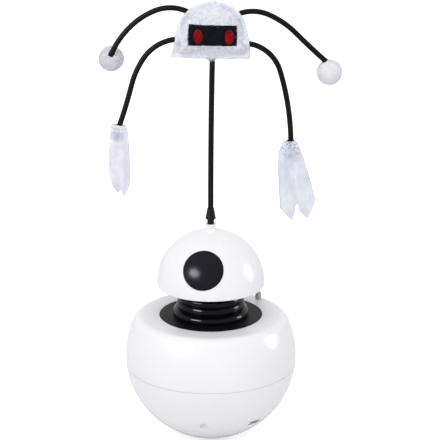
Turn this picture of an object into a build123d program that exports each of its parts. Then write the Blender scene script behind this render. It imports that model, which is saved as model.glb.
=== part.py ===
"""Automatic cat laser toy.

A ball-shaped body stands on a small flat. A black ribbed collar carries a dome head that a gear motor
turns without end, with a laser behind the dark round window. A flexible antenna plugs into the top of
the head and carries a felt head with four arms, two felt balls, a soft paddle and a cut streamer.

The origin is the centre of the base pad, on the surface that the toy stands on. +Z is up, the front is -Y.
Lengths are in millimetres and angles in degrees. Each sub-part is written to parts/ as one STEP file.
"""

import os
from math import atan, cos, degrees, pi, radians, sin, sqrt

from build123d import *

# ---------------------------------------------------------------- fits and clearances
RUNNING_FIT = 0.06  # radial play of a turning shaft
SLIDING_FIT = 0.10  # radial play of a plug or a plunger
SEAT_PLAY = 0.05  # play round pieces that are fixed to each other
PILOT_EXTRA = 0.2  # blind screw holes are this much deeper than their screws
SOFT_GAP = 0.15  # play between felt and what it holds

# ---------------------------------------------------------------- ball body
BODY_RADIUS = 50.0
BODY_WALL = 2.2
BASE_FLAT_RADIUS = 15.75
FLOOR_THICKNESS = 2.6
PAD_RADIUS = 14.0
PAD_THICKNESS = 1.6
PAD_PROUD = 0.4
SEAM_DROP = 5.45  # below the middle of the ball
SEAM_GROOVE_WIDTH = 0.25
SEAM_GROOVE_DEPTH = 0.5
TONGUE_THICKNESS = 1.0
TONGUE_HEIGHT = 2.0
SHOULDER_LIFT = 24.65  # above the middle of the ball
SHOULDER_WIDTH = 13.5  # of the white ring round the collar, its rounding included
SHOULDER_ROUNDING = 6.0

# Screws that close the ball
SHELL_SCREW_INSET = 7.9  # from the inner face of the wall at the seam
SHELL_SCREW_COUNT = 3
SHELL_SCREW_ANGLE = 264.4
SHELL_BOSS_RADIUS = 3.4
SHELL_SCREW_GRIP = 11.4  # of the lower bowl, below the seam
SHELL_SCREW_LENGTH = 17.0
SHELL_RIB_THICKNESS = 1.2
COUNTERBORE_RADIUS = 2.4

# Charging port
PORT_ANGLE = -49.3
PORT_HEIGHT = 16.4
PORT_SLOT_WIDTH = 8.8
PORT_SLOT_HEIGHT = 2.6
SOCKET_WIDTH = 7.5
SOCKET_HEIGHT = 2.4
SOCKET_LENGTH = 5.6
PORT_DEPTH = 2.47  # from the ball's surface in to the socket
SOCKET_SHELL = 0.35
SOCKET_CORNER = 0.35
SOCKET_BLADE_WIDTH = 3.6
SOCKET_BLADE_THICKNESS = 0.6
SOCKET_MOUTH_DEPTH = 4.6
SOCKET_POCKET_ROOM = 0.4

# ---------------------------------------------------------------- collar with the ribbed neck
COLLAR_THICKNESS = 2.0
COLLAR_EDGE_ROUNDING = 0.4
COLLAR_REST = 2.5  # width of the collar that rests on the ledge
LEDGE_SPREAD = 3.0  # the ledge reaches this far beyond the collar
LEDGE_THICKNESS = 2.0
SKIRT_THICKNESS = 1.2
NECK_RADIUS = 19.3  # at the lowest groove
NECK_TAPER = 0.35  # each groove is this much smaller than the one below it
NECK_FOOT_HEIGHT = 5.0  # the wide ring that stands on the collar
NECK_FOOT_FLARE = 2.1
NECK_FOOT_BULGE = 0.6
RING_PITCH = 4.45
RING_BULGE = 0.8
FULL_RINGS = 2
TOP_RING_HEIGHT = 4.2
NECK_WALL = 2.0
NECK_WEB_THICKNESS = 2.0

# ---------------------------------------------------------------- chassis and drive
CHASSIS_INSET = 1.0  # the chassis is this much smaller than the ledge
MOTOR_ANGLE = 270.0  # the motor hangs in front, over the control board
CHASSIS_THICKNESS = 2.0
CHASSIS_SCREW_INSET = 3.9  # inside the ledge's opening
CHASSIS_SCREW_COUNT = 4
CHASSIS_SCREW_ANGLE = 45.0
CHASSIS_BOSS_RADIUS = 3.0
CUP_WALL = 1.6
CUP_DEPTH = 13.5
CUP_FLOOR = 2.0
GEAR_MODULE = 0.5
GEAR_TEETH = 48
PINION_TEETH = 16
PRESSURE_ANGLE = 20.0
TOOTH_ADDENDUM = 0.9  # in modules
TOOTH_DEDENDUM = 1.25  # in modules
TOOTH_BACKLASH = 0.14
MESH_SPREAD = 0.10  # added to the ideal distance between the gear's and the pinion's axes
FLANK_STEPS = 4
GEAR_FACE = 4.0
GEAR_HUB_RADIUS = 6.5
GEAR_HUB_HEIGHT = 2.5
GEAR_LIFT = 1.2  # from the bush's flange to the gear
GEAR_TIP_ROOM = 1.0
SPINDLE_RADIUS = 4.0
SPINDLE_BORE_RADIUS = 2.2
BUSH_WALL = 1.5
BUSH_FLANGE_WIDTH = 1.6
BUSH_FLANGE_THICKNESS = 0.8
BUSH_LENGTH = 5.0
BUSH_BOSS_WALL = 2.0
WASHER_THICKNESS = 0.5
WASHER_RADIUS = 7.0
SPINDLE_FLANGE_RADIUS = 8.0
SPINDLE_FLANGE_THICKNESS = 1.2
SPINDLE_TAIL = 12.0  # below the cup's floor
DRIVE_FLATS = 7.0  # across the two flats of the spindle's top
DRIVE_END_HEIGHT = 4.4
CLIP_THICKNESS = 0.7
CLIP_RADIUS = 6.0
CLIP_GROOVE_DEPTH = 0.5
CLIP_OPENING = 4.0
CLIP_GAP = 0.15  # below the upper bush

# Gear motor
GEARBOX_WIDTH = 12.0
GEARBOX_DEPTH = 10.0
GEARBOX_LENGTH = 9.0
GEARBOX_NOSE_RADIUS = 2.3
GEARBOX_NOSE_HEIGHT = 0.7
MOTOR_RADIUS = 6.0
MOTOR_LENGTH = 15.0
MOTOR_TERMINAL_LENGTH = 1.0
TERMINAL_SPACING = 6.0
TERMINAL_WIDTH = 0.5
TERMINAL_THICKNESS = 1.6
MOTOR_SHAFT_RADIUS = 1.5
MOTOR_SHAFT_FLAT = 0.5
SHAFT_BEARING_DEPTH = 5.0
MOTOR_SCREW_SPACING = 9.0
DRIVE_SCREW_LENGTH = 3.4
PINION_FACE = 5.0
SHAFT_END = 0.5  # the shaft stands this far above the pinion

# Slip rings that pass current to the head
SLIP_SLEEVE_THICKNESS = 1.3
SLIP_SLEEVE_LENGTH = 8.4
SLIP_RING_THICKNESS = 0.5
SLIP_RING_WIDTH = 1.6
SLIP_RING_SPACING = 3.6
BRUSH_BLOCK_WIDTH = 14.0
BRUSH_BLOCK_THICKNESS = 3.6
BRUSH_BLOCK_DROP = 11.0
BRUSH_FOOT_WIDTH = 22.0
BRUSH_FOOT_THICKNESS = 1.6
BRUSH_SCREW_SPACING = 18.6
BRUSH_WIRE_RADIUS = 0.25
BRUSH_REACH = 3.0  # from the block to the nearest point of the rings
BRUSH_OVERRUN = 2.0  # how far the wires run past the axis
BRUSH_WIRE_TAIL = 1.0  # behind the block

# ---------------------------------------------------------------- what lies in the lower bowl
WEIGHT_RADIUS = 24.0
WEIGHT_GAP = 0.3
TRAY_GAP = 0.84
TRAY_THICKNESS = 1.6
TRAY_SCREW_INSET = 2.6
TRAY_BOSS_RADIUS = 2.6
TRAY_BOSS_TOP = 11.0
TRAY_SCREW_COUNT = 3
TRAY_SCREW_ANGLE = 10.7
CELL_RADIUS = 7.0
CELL_LENGTH = 48.0
CELL_SETBACK = 9.5  # the cell lies this far behind the axis, away from the port
CELL_LIFT = 0.8
CELL_BUTTON_RADIUS = 2.7
CELL_BUTTON_HEIGHT = 1.0
SADDLE_THICKNESS = 2.0
SADDLE_SPREAD = 32.0
SADDLE_WALL = 1.4
SADDLE_RISE = 2.0  # above the middle of the cell
BOARD_LENGTH = 24.0
BOARD_WIDTH = 22.0
BOARD_THICKNESS = 1.2
BOARD_SETBACK = 23.1  # from the tray's edge to the board's inner end
BOARD_TONGUE_WIDTH = 9.0
BOARD_TONGUE_GAP = 3.4  # from the tongue's end to the mouth of the socket
BOARD_HOLE_INSET = 3.6
BOARD_POST_RADIUS = 2.0
CHIP_SIZE = 6.0
CHIP_HEIGHT = 1.0
CAPACITOR_RADIUS = 2.0
CAPACITOR_HEIGHT = 5.0

# ---------------------------------------------------------------- button on the shoulder
BUTTON_INSET = 5.5  # from the edge where the flat shoulder would meet the ball
BUTTON_ANGLE = 42.2
BUTTON_RADIUS = 1.8
BUTTON_HEIGHT = 4.4
BUTTON_TRAVEL = 1.0
BUTTON_ROUNDING = 0.6
BUTTON_FLANGE_RADIUS = 2.4
BUTTON_FLANGE_THICKNESS = 1.0
SWITCH_SIZE = 6.0
SWITCH_BODY_HEIGHT = 3.6
PLUNGER_RADIUS = 1.6
PLUNGER_HEIGHT = 1.4
PLUNGER_DEPTH = 0.8
SWITCH_BOARD_LENGTH = 14.0
SWITCH_BOARD_WIDTH = 9.0
SWITCH_POST_RADIUS = 1.7
SWITCH_POST_SPACING = 10.0

# ---------------------------------------------------------------- turning head
HEAD_RADIUS = 31.4
HEAD_WALL = 1.8
HEAD_LIFT = 1.7  # middle of the head above the neck
RIM_DROP = 1.3  # below the middle of the head
RIM_ROUNDING = 0.8
UNDERPLATE_THICKNESS = 1.8
HEAD_SCREW_INSET = 6.0  # from the edge of the underplate
HEAD_SCREW_COUNT = 3
HEAD_SCREW_ANGLE = 80.4
HEAD_BOSS_RADIUS = 2.8
HEAD_SCREW_LENGTH = 6.0

# Round dark window, the eye
EYE_RADIUS = 11.7
EYE_AZIMUTH = 260.4
EYE_ELEVATION = 31.5
EYE_SEAT_INSET = 3.0  # inside the round of the dome
EYE_EDGE_HEIGHT = 1.3
EYE_EDGE_ROUNDING = 0.5
EYE_CROWN = 3.1
EYE_WALL = 1.3
EYE_SPIGOT_RADIUS = 10.4
EYE_SPIGOT_DEPTH = 1.6

# Laser behind the window
LASER_RADIUS = 3.0
LASER_LENGTH = 12.0
LASER_INSET = 15.4  # middle of the module inside the round of the dome
LASER_LIFT = 10.4  # middle of the module above the underplate
LASER_PITCH = -16.0
LASER_APERTURE_RADIUS = 1.2
LASER_APERTURE_DEPTH = 1.5
HOLDER_LENGTH = 8.0
HOLDER_WIDTH = 9.0
HOLDER_TOP_WALL = 2.4
HOLDER_FOOT_WIDTH = 19.0
HOLDER_FOOT_THICKNESS = 1.8
HOLDER_SCREW_SPACING = 14.0

# Socket for the antenna on top of the head
SOCKET_RISE = 4.2  # above the crown of the dome
SOCKET_LIP_RADIUS = 3.4
SOCKET_LIP_HEIGHT = 0.5
SOCKET_WAIST_RADIUS = 2.6
SOCKET_TUBE_RADIUS = 3.2
SOCKET_DEPTH = 10.0
SOCKET_FLOOR = 2.0

# ---------------------------------------------------------------- antenna
PLUG_SPIGOT_RADIUS = 1.7
PLUG_SPIGOT_LENGTH = 9.5
PLUG_NECK_RADIUS = 1.95
PLUG_NECK_HEIGHT = 2.4
PLUG_BARB_RADIUS = 3.05
PLUG_BARB_EDGE = 0.7
PLUG_HEIGHT = 9.2
PLUG_END_RADIUS = 2.0
ROD_RADIUS = 1.6
ROD_FOOT = 3.2  # above the socket's lip
ROD_LENGTH = 117.9
ROD_BOW = 1.6  # how far the rod bends towards +X by its top

# Felt head
FELT_DROP = 23.8  # from the rod's top down to the felt's lower edge
FELT_HEIGHT = 33.7
FELT_WIDTH = 45.0
FELT_FLANK_WIDTH = 41.0
FELT_FLANK_HEIGHT = 13.7
FELT_BROW_WIDTH = 28.6
FELT_BROW_HEIGHT = 27.5
FELT_SIDE_LEAN = 0.1  # how steeply the sides lean inwards at the lower edge
FELT_EDGE_THICKNESS = 6.2
FELT_DEPTH = 13.0
FELT_FACE_SCALE = 0.84
FELT_CENTRE_X = 0.5
VISOR_WIDTH = 27.2
VISOR_HEIGHT = 11.8
VISOR_THICKNESS = 0.9
VISOR_LIFT = 15.3  # middle above the felt's lower edge
VISOR_CENTRE_X = 1.2
VISOR_CORNER = 0.8
EYE_PATCH_WIDTH = 5.2
EYE_PATCH_HEIGHT = 8.8
EYE_PATCH_THICKNESS = 0.7
EYE_PATCH_SPACING = 17.3
EYE_PATCH_CENTRE_X = 2.0
EYE_PATCH_DROP = 0.8  # below the middle of the visor

# Joiner hidden in the felt, where the rod and the arms meet
JOINER_WIDTH = 12.0
JOINER_DEPTH = 6.4
JOINER_HEIGHT = 21.0
JOINER_LIFT = 6.7  # above the felt's lower edge
JOINER_ROUNDING = 1.2

# Arms. Each leaves the joiner at a lift above the felt's lower edge, with a heading above the
# horizontal, runs straight over its root, and then follows its bends, each a radius and a turn.
ARM_RADIUS = 1.55
ARM_ROD_GAP = 0.5
UPPER_ARM_SWEEP = 3.0  # the upper arms lean backwards
LOWER_ARM_SWEEP = -3.0  # the lower arms lean forwards
UPPER_LEFT_LIFT = 21.9
UPPER_LEFT_HEADING = 23.1
UPPER_LEFT_ROOT = 14.0
UPPER_LEFT_RADII = (22.8, 42.7, 51.2)
UPPER_LEFT_TURNS = (-45.4, -19.8, -25.5)
LOWER_LEFT_LIFT = 14.6
LOWER_LEFT_HEADING = -8.7
LOWER_LEFT_ROOT = 20.5
LOWER_LEFT_RADII = (24.6, 48.2, 300.0)
LOWER_LEFT_TURNS = (-46.7, -20.1, 6.1)
UPPER_RIGHT_LIFT = 21.7
UPPER_RIGHT_HEADING = 18.8
UPPER_RIGHT_ROOT = 13.3
UPPER_RIGHT_RADII = (22.4, 51.8, 400.0)
UPPER_RIGHT_TURNS = (-43.4, -20.9, 3.8)
LOWER_RIGHT_LIFT = 12.6
LOWER_RIGHT_HEADING = -10.4
LOWER_RIGHT_ROOT = 19.1
LOWER_RIGHT_RADII = (21.9, 154.0)
LOWER_RIGHT_TURNS = (-62.8, -18.6)

# Felt balls
POMPOM_RADIUS = 7.2
LEFT_POMPOM_SETBACK = 5.6  # the left arm lies in a groove on the front of its ball
LEFT_POMPOM_DROP = 3.0
RIGHT_POMPOM_DROP = 4.5

# Soft paddle on the lower left arm
PADDLE_LENGTH = 44.2
PADDLE_WIDTH = 12.1
PADDLE_THICKNESS = 2.6
PADDLE_ROOT = 7.5  # how far the arm reaches into it
PADDLE_SHIFT = 2.1  # its middle lies this much nearer to the axis than the arm's end
PADDLE_TOP_WIDTH = 8.0
PADDLE_WIDEST_SHARE = 0.33  # height of its widest place as a share of its length
PADDLE_LOBE_SPACING = 3.8
PADDLE_NOTCH_HEIGHT = 1.8

# Cut streamer on the lower right arm
STREAMER_THICKNESS = 1.4
STREAMER_ROOT = 7.8
STREAMER_TOP_WIDTH = 5.6
STREAMER_SHOULDER_WIDTH = 9.6
STREAMER_SHOULDER_DROP = 2.4
STREAMER_LEFT_BULGE = (-7.3, 14.0)  # this pair and the next ones are sideways and down from the top
STREAMER_LEFT_CORNER = (-6.2, 40.2)
STREAMER_LEFT_TIP = (1.3, 48.0)
STREAMER_NOTCH = (3.0, 37.8)
STREAMER_RIGHT_TIP = (9.6, 46.4)
STREAMER_RIGHT_CORNER = (14.1, 35.7)
STREAMER_RIGHT_BULGE = (8.2, 15.5)
SLEEVE_WALL = 0.8  # gathered fabric round the end of an arm

# ---------------------------------------------------------------- fasteners
LARGE_SCREW_RADIUS = 1.3
LARGE_HEAD_RADIUS = 2.2
LARGE_HEAD_HEIGHT = 1.7
SMALL_SCREW_RADIUS = 1.1
SMALL_HEAD_RADIUS = 1.9
SMALL_HEAD_HEIGHT = 1.2
TINY_SCREW_RADIUS = 0.8
TINY_HEAD_RADIUS = 1.4
TINY_HEAD_HEIGHT = 0.9
CHASSIS_SCREW_LENGTH = 5.2
TRAY_SCREW_LENGTH = 4.0
BOARD_SCREW_LENGTH = 2.4
HOLDER_SCREW_LENGTH = 3.4
RECESS_SHARE = 0.5  # depth of a screw's cross recess as a share of its head
RECESS_WIDTH = 0.5
POINT_SHARE = 0.3  # chamfer of a screw's point as a share of its radius

# ---------------------------------------------------------------- places worked out from the sizes
body_centre = PAD_PROUD + sqrt(BODY_RADIUS**2 - BASE_FLAT_RADIUS**2)
body_inner_radius = BODY_RADIUS - BODY_WALL
floor_top = PAD_PROUD + FLOOR_THICKNESS
seam_height = body_centre - SEAM_DROP
shoulder_height = body_centre + SHOULDER_LIFT
shoulder_radius = sqrt(BODY_RADIUS**2 - SHOULDER_LIFT**2)
seam_inner_radius = sqrt(body_inner_radius**2 - SEAM_DROP**2)
seam_outer_radius = sqrt(BODY_RADIUS**2 - SEAM_DROP**2)
tongue_radius = seam_inner_radius + TONGUE_THICKNESS
tongue_top = seam_height + TONGUE_HEIGHT
shell_screw_circle = seam_inner_radius - SHELL_SCREW_INSET
shell_screw_seat = seam_height - SHELL_SCREW_GRIP
shoulder_inside = shoulder_height - BODY_WALL
socket_reach = sqrt(BODY_RADIUS**2 - (body_centre - PORT_HEIGHT) ** 2) - PORT_DEPTH

collar_radius = shoulder_radius - SHOULDER_WIDTH
ledge_opening_radius = collar_radius - COLLAR_REST
ledge_radius = collar_radius + LEDGE_SPREAD
collar_bottom = shoulder_height - COLLAR_THICKNESS
ledge_bottom = collar_bottom - LEDGE_THICKNESS
skirt_radius = ledge_opening_radius - SEAT_PLAY
neck_base = shoulder_height + NECK_FOOT_HEIGHT
neck_top = neck_base + FULL_RINGS * RING_PITCH + TOP_RING_HEIGHT
neck_top_radius = NECK_RADIUS - FULL_RINGS * NECK_TAPER
neck_inner_radius = neck_top_radius - NECK_WALL

bush_bore_radius = SPINDLE_RADIUS + RUNNING_FIT
bush_radius = bush_bore_radius + BUSH_WALL
bush_flange_radius = bush_radius + BUSH_FLANGE_WIDTH
bush_boss_radius = bush_radius + BUSH_BOSS_WALL
upper_bush_seat = neck_top - BUSH_FLANGE_THICKNESS
web_bottom = upper_bush_seat - NECK_WEB_THICKNESS

chassis_radius = ledge_radius - CHASSIS_INSET
chassis_screw_circle = ledge_opening_radius - CHASSIS_SCREW_INSET
chassis_bottom = ledge_bottom - CHASSIS_THICKNESS
cup_floor_top = ledge_bottom - CUP_DEPTH
cup_floor_bottom = cup_floor_top - CUP_FLOOR
gear_pitch_radius = GEAR_MODULE * GEAR_TEETH / 2
pinion_pitch_radius = GEAR_MODULE * PINION_TEETH / 2
mesh_distance = gear_pitch_radius + pinion_pitch_radius + MESH_SPREAD
gear_room = gear_pitch_radius + TOOTH_ADDENDUM * GEAR_MODULE + GEAR_TIP_ROOM
pinion_room = pinion_pitch_radius + TOOTH_ADDENDUM * GEAR_MODULE + GEAR_TIP_ROOM
gear_bottom = cup_floor_top + BUSH_FLANGE_THICKNESS + GEAR_LIFT
pinion_bottom = gear_bottom - (PINION_FACE - GEAR_FACE) / 2
shaft_bottom = cup_floor_bottom + GEARBOX_NOSE_HEIGHT - SHAFT_BEARING_DEPTH
shaft_top = pinion_bottom + PINION_FACE + SHAFT_END

spindle_flange_bottom = neck_top + WASHER_THICKNESS + SEAT_PLAY
underplate_bottom = spindle_flange_bottom + SPINDLE_FLANGE_THICKNESS
underplate_top = underplate_bottom + UNDERPLATE_THICKNESS
spindle_bottom = cup_floor_bottom - SPINDLE_TAIL
spindle_top = underplate_bottom + DRIVE_END_HEIGHT
clip_groove_radius = SPINDLE_RADIUS - CLIP_GROOVE_DEPTH
lower_clip_bottom = upper_bush_seat - BUSH_LENGTH - CLIP_GAP - CLIP_THICKNESS
upper_clip_bottom = underplate_top + SEAT_PLAY

slip_sleeve_radius = SPINDLE_RADIUS + SEAT_PLAY + SLIP_SLEEVE_THICKNESS
slip_ring_radius = slip_sleeve_radius + SLIP_RING_THICKNESS
slip_sleeve_bottom = spindle_bottom + SEAT_PLAY
slip_middle = slip_sleeve_bottom + SLIP_SLEEVE_LENGTH / 2
brush_face = slip_ring_radius + BRUSH_REACH
brush_middle = brush_face + BRUSH_BLOCK_THICKNESS / 2
brush_wire_start = brush_face + BRUSH_BLOCK_THICKNESS + BRUSH_WIRE_TAIL
brush_wire_reach = slip_ring_radius + RUNNING_FIT + BRUSH_WIRE_RADIUS

tray_bottom = TRAY_BOSS_TOP
tray_radius = sqrt(body_inner_radius**2 - (body_centre - tray_bottom) ** 2) - TRAY_GAP
tray_screw_circle = tray_radius - TRAY_SCREW_INSET
weight_top = tray_bottom - WEIGHT_GAP
tray_top = tray_bottom + TRAY_THICKNESS
board_top = PORT_HEIGHT - SOCKET_HEIGHT / 2
board_bottom = board_top - BOARD_THICKNESS
board_start = tray_radius - BOARD_SETBACK
board_middle = board_start + BOARD_LENGTH / 2
board_hole_spacing_x = BOARD_LENGTH - 2 * BOARD_HOLE_INSET
board_hole_spacing_y = BOARD_WIDTH - 2 * BOARD_HOLE_INSET
cell_height = tray_top + CELL_LIFT + CELL_RADIUS

button_circle = shoulder_radius - BUTTON_INSET
button_flange_top = shoulder_inside - SEAT_PLAY
button_flange_bottom = button_flange_top - BUTTON_FLANGE_THICKNESS
switch_top = button_flange_bottom - PLUNGER_HEIGHT
switch_bottom = switch_top - SWITCH_BODY_HEIGHT
switch_board_bottom = switch_bottom - BOARD_THICKNESS
plunger_bottom = switch_top - PLUNGER_DEPTH

head_centre = neck_top + HEAD_LIFT
head_rim = head_centre - RIM_DROP
head_inner_radius = HEAD_RADIUS - HEAD_WALL
plate_radius = sqrt(head_inner_radius**2 - (underplate_top - head_centre) ** 2) - SEAT_PLAY
head_screw_circle = plate_radius - HEAD_SCREW_INSET
socket_bore_radius = PLUG_SPIGOT_RADIUS + SLIDING_FIT
socket_top = head_centre + HEAD_RADIUS + SOCKET_RISE
socket_bore_bottom = socket_top - SOCKET_DEPTH
socket_foot_height = head_centre + sqrt(HEAD_RADIUS**2 - SOCKET_LIP_RADIUS**2)
laser_height = underplate_top + LASER_LIFT
laser_reach = HEAD_RADIUS - LASER_INSET
eye_seat = HEAD_RADIUS - EYE_SEAT_INSET

plug_top = socket_top + PLUG_HEIGHT
rod_foot_height = socket_top + ROD_FOOT
rod_turn = degrees(2 * atan(ROD_BOW / ROD_LENGTH))
rod_bend_radius = ROD_LENGTH / sin(radians(rod_turn))
felt_bottom = rod_foot_height + ROD_LENGTH - FELT_DROP
felt_front = FELT_DEPTH / 2
visor_height = felt_bottom + VISOR_LIFT
joiner_bottom = felt_bottom + JOINER_LIFT
joiner_middle = joiner_bottom + JOINER_HEIGHT / 2

FULL_TURN = 360.0
QUARTER_TURN = 90.0
HALF_TURN = 180.0
FROM_BELOW = (Align.CENTER, Align.MIN)
FROM_ABOVE = (Align.CENTER, Align.MAX)
RIGHT_HALF = (Align.MIN, Align.MIN)
brush_angle = MOTOR_ANGLE - HALF_TURN

os.makedirs("parts", exist_ok=True)


def direction(angle, pitch=0):
    """Unit vector that points away from the axis at the angle, raised by the pitch."""
    level = cos(radians(pitch))
    return Vector(cos(radians(angle)) * level, sin(radians(angle)) * level, sin(radians(pitch)))


def radial_plane(angle):
    """Upright plane through the axis: its local x points outwards at the angle and its local y is up."""
    return Plane(origin=(0, 0, 0), x_dir=direction(angle), z_dir=direction(angle - QUARTER_TURN))


def facing_plane(angle, reach, height, pitch=0):
    """Plane that faces outwards at the angle, tipped up by the pitch: its local x is level."""
    origin = direction(angle) * reach + Vector(0, 0, height)
    return Plane(origin=origin, x_dir=direction(angle + QUARTER_TURN), z_dir=direction(angle, pitch))


def level_plane(angle, reach, height, up=1):
    """Level plane at a distance from the axis: its local x points outwards at the angle."""
    origin = direction(angle) * reach + Vector(0, 0, height)
    return Plane(origin=origin, x_dir=direction(angle), z_dir=(0, 0, up))


def drive_plane(height, up=1):
    """Level plane at a height: its local y points towards the motor, or away from it facing down."""
    across = direction(MOTOR_ANGLE - QUARTER_TURN)
    return Plane(origin=(0, 0, height), x_dir=across, z_dir=(0, 0, up))


def finish(part, label):
    """Name a finished sub-part and write its STEP file."""
    part.label = label
    export_step(part, f"parts/{label}.step")


def pan_screw(shank_radius, head_radius, head_height, length):
    """Pan-head screw that points up: its head bears at z = 0 and hangs below, with a cross recess."""
    with BuildPart() as screw:
        with BuildSketch(Plane.XY):
            Circle(shank_radius)
        extrude(amount=length)
        chamfer(screw.edges().group_by(Axis.Z)[-1], shank_radius * POINT_SHARE)
        with BuildSketch(Plane.XY):
            Circle(head_radius)
        extrude(amount=-head_height)
        fillet(screw.edges().group_by(Axis.Z)[0], head_height / 2)
        with BuildSketch(Plane.XY.offset(-head_height)):
            Rectangle(head_radius, RECESS_WIDTH)
            Rectangle(RECESS_WIDTH, head_radius)
        extrude(amount=head_height * RECESS_SHARE, mode=Mode.SUBTRACT)
    return screw.part


def gear_points(teeth):
    """Corner points of a spur gear with involute flanks, in a fixed number of steps along each flank."""
    pitch = GEAR_MODULE * teeth / 2
    base = pitch * cos(radians(PRESSURE_ANGLE))
    tip = pitch + TOOTH_ADDENDUM * GEAR_MODULE
    root = pitch - TOOTH_DEDENDUM * GEAR_MODULE
    flank_start = max(base, root)

    def involute(radius):
        roll = sqrt(max((radius / base) ** 2 - 1, 0))
        return roll - atan(roll)

    half_tooth = pi / (2 * teeth) - TOOTH_BACKLASH / (4 * pitch) + involute(pitch)
    flank = [(root, half_tooth)] if root < base else []
    for step in range(FLANK_STEPS):
        radius = flank_start + (tip - flank_start) * step / (FLANK_STEPS - 1)
        flank.append((radius, half_tooth - involute(radius)))
    points = []
    for tooth in range(teeth):
        middle = 2 * pi * tooth / teeth
        rising = [(radius, middle - angle) for radius, angle in flank]
        falling = [(radius, middle + angle) for radius, angle in reversed(flank)]
        points += [(radius * cos(angle), radius * sin(angle)) for radius, angle in rising + falling]
    return points


def draw_gear(teeth, turn):
    """Draw a gear's face in the current sketch, with one tooth pointing at the angle."""
    with BuildSketch(mode=Mode.PRIVATE) as gear:
        with BuildLine():
            Polyline(*gear_points(teeth), close=True)
        make_face()
    add(gear.sketch, rotation=turn)


def flanged_bush(height):
    """Plain bearing bush whose flange bears at a height, with its sleeve below."""
    with BuildPart() as bush:
        with BuildSketch(Plane.XY.offset(height)):
            Circle(bush_flange_radius)
        extrude(amount=BUSH_FLANGE_THICKNESS)
        with BuildSketch(Plane.XY.offset(height)):
            Circle(bush_radius)
        extrude(amount=-BUSH_LENGTH)
        with BuildSketch(Plane.XY.offset(height + BUSH_FLANGE_THICKNESS)):
            Circle(bush_bore_radius)
        extrude(amount=-BUSH_LENGTH - BUSH_FLANGE_THICKNESS, mode=Mode.SUBTRACT)
    return bush.part


def flatted_shaft(radius):
    """Section of the motor's shaft, or of a hole round it, with one flat on its outer side."""
    with BuildSketch() as section:
        with Locations((0, mesh_distance)):
            Circle(radius)
        with Locations((0, mesh_distance + radius - MOTOR_SHAFT_FLAT)):
            Rectangle(2 * radius, 2 * radius, align=FROM_ABOVE, mode=Mode.INTERSECT)
    return section.sketch


def spring_clip(height):
    """Open ring that snaps into a groove of the spindle, from a height upwards."""
    with BuildPart() as clip:
        with BuildSketch(Plane.XY.offset(height)):
            Circle(CLIP_RADIUS)
            Circle(clip_groove_radius + SEAT_PLAY, mode=Mode.SUBTRACT)
            Rectangle(CLIP_RADIUS, CLIP_OPENING, align=(Align.MIN, Align.CENTER), mode=Mode.SUBTRACT)
        extrude(amount=CLIP_THICKNESS)
    return clip.part


def rod_offset(height):
    """How far the middle of the bent rod lies towards +X at a height."""
    return rod_bend_radius - sqrt(rod_bend_radius**2 - (height - rod_foot_height) ** 2)


def arm_path(angle, lift, heading, root, radii, turns):
    """Middle line of an arm in the upright plane at the angle."""
    height = felt_bottom + lift
    rod_side = cos(radians(angle)) * rod_offset(height)
    with BuildLine(radial_plane(angle)) as path:
        last = PolarLine((rod_side + ROD_RADIUS + ARM_ROD_GAP, height), root, heading)
        for radius, turn in zip(radii, turns):
            last = JernArc(start=last @ 1, tangent=last % 1, radius=radius, arc_size=turn)
    return path.wire()


def tube_along(path, radius):
    """Round bar of a radius along a path."""
    with BuildPart() as tube:
        with BuildSketch(Plane(origin=path @ 0, z_dir=path % 0)):
            Circle(radius)
        sweep(path=path)
    return tube.part


def arm_end(path, length, radius):
    """Round bar over the last length of an arm's path."""
    last = path.edges().sort_by(Axis.Z)[0]
    return tube_along(last.trim(1 - length / last.length, 1), radius)


def felt_outline(scale):
    """Outline of the felt head, shrunk about its middle by the scale."""
    with BuildSketch() as outline:
        with BuildLine():
            Line((-FELT_WIDTH / 2, 0), (FELT_WIDTH / 2, 0))
            for side in (-1, 1):
                Spline(
                    (side * FELT_WIDTH / 2, 0),
                    (side * FELT_FLANK_WIDTH / 2, FELT_FLANK_HEIGHT),
                    (side * FELT_BROW_WIDTH / 2, FELT_BROW_HEIGHT),
                    (0, FELT_HEIGHT),
                    tangents=((-side * FELT_SIDE_LEAN, 1), (-side, 0)),
                )
        make_face()
    middle = FELT_HEIGHT / 2
    shrunk = outline.sketch.moved(Location((0, -middle, 0))).scale(scale)
    return shrunk.moved(Location((FELT_CENTRE_X, felt_bottom + middle, 0)))


def paddle_outline():
    """Outline of the paddle, with its foot at the origin: two lobes below and a narrower top."""
    with BuildSketch() as outline:
        with BuildLine():
            lobe = PADDLE_LOBE_SPACING / 2
            Line((-PADDLE_TOP_WIDTH / 2, PADDLE_LENGTH), (PADDLE_TOP_WIDTH / 2, PADDLE_LENGTH))
            ThreePointArc((-lobe, 0), (0, PADDLE_NOTCH_HEIGHT), (lobe, 0))
            for side in (-1, 1):
                Spline(
                    (side * PADDLE_TOP_WIDTH / 2, PADDLE_LENGTH),
                    (side * PADDLE_WIDTH / 2, PADDLE_LENGTH * PADDLE_WIDEST_SHARE),
                    (side * lobe, 0),
                )
        make_face()
    return outline.sketch


def below(point):
    """Turn a pair of sideways and down into a sketch point."""
    return (point[0], -point[1])


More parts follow.
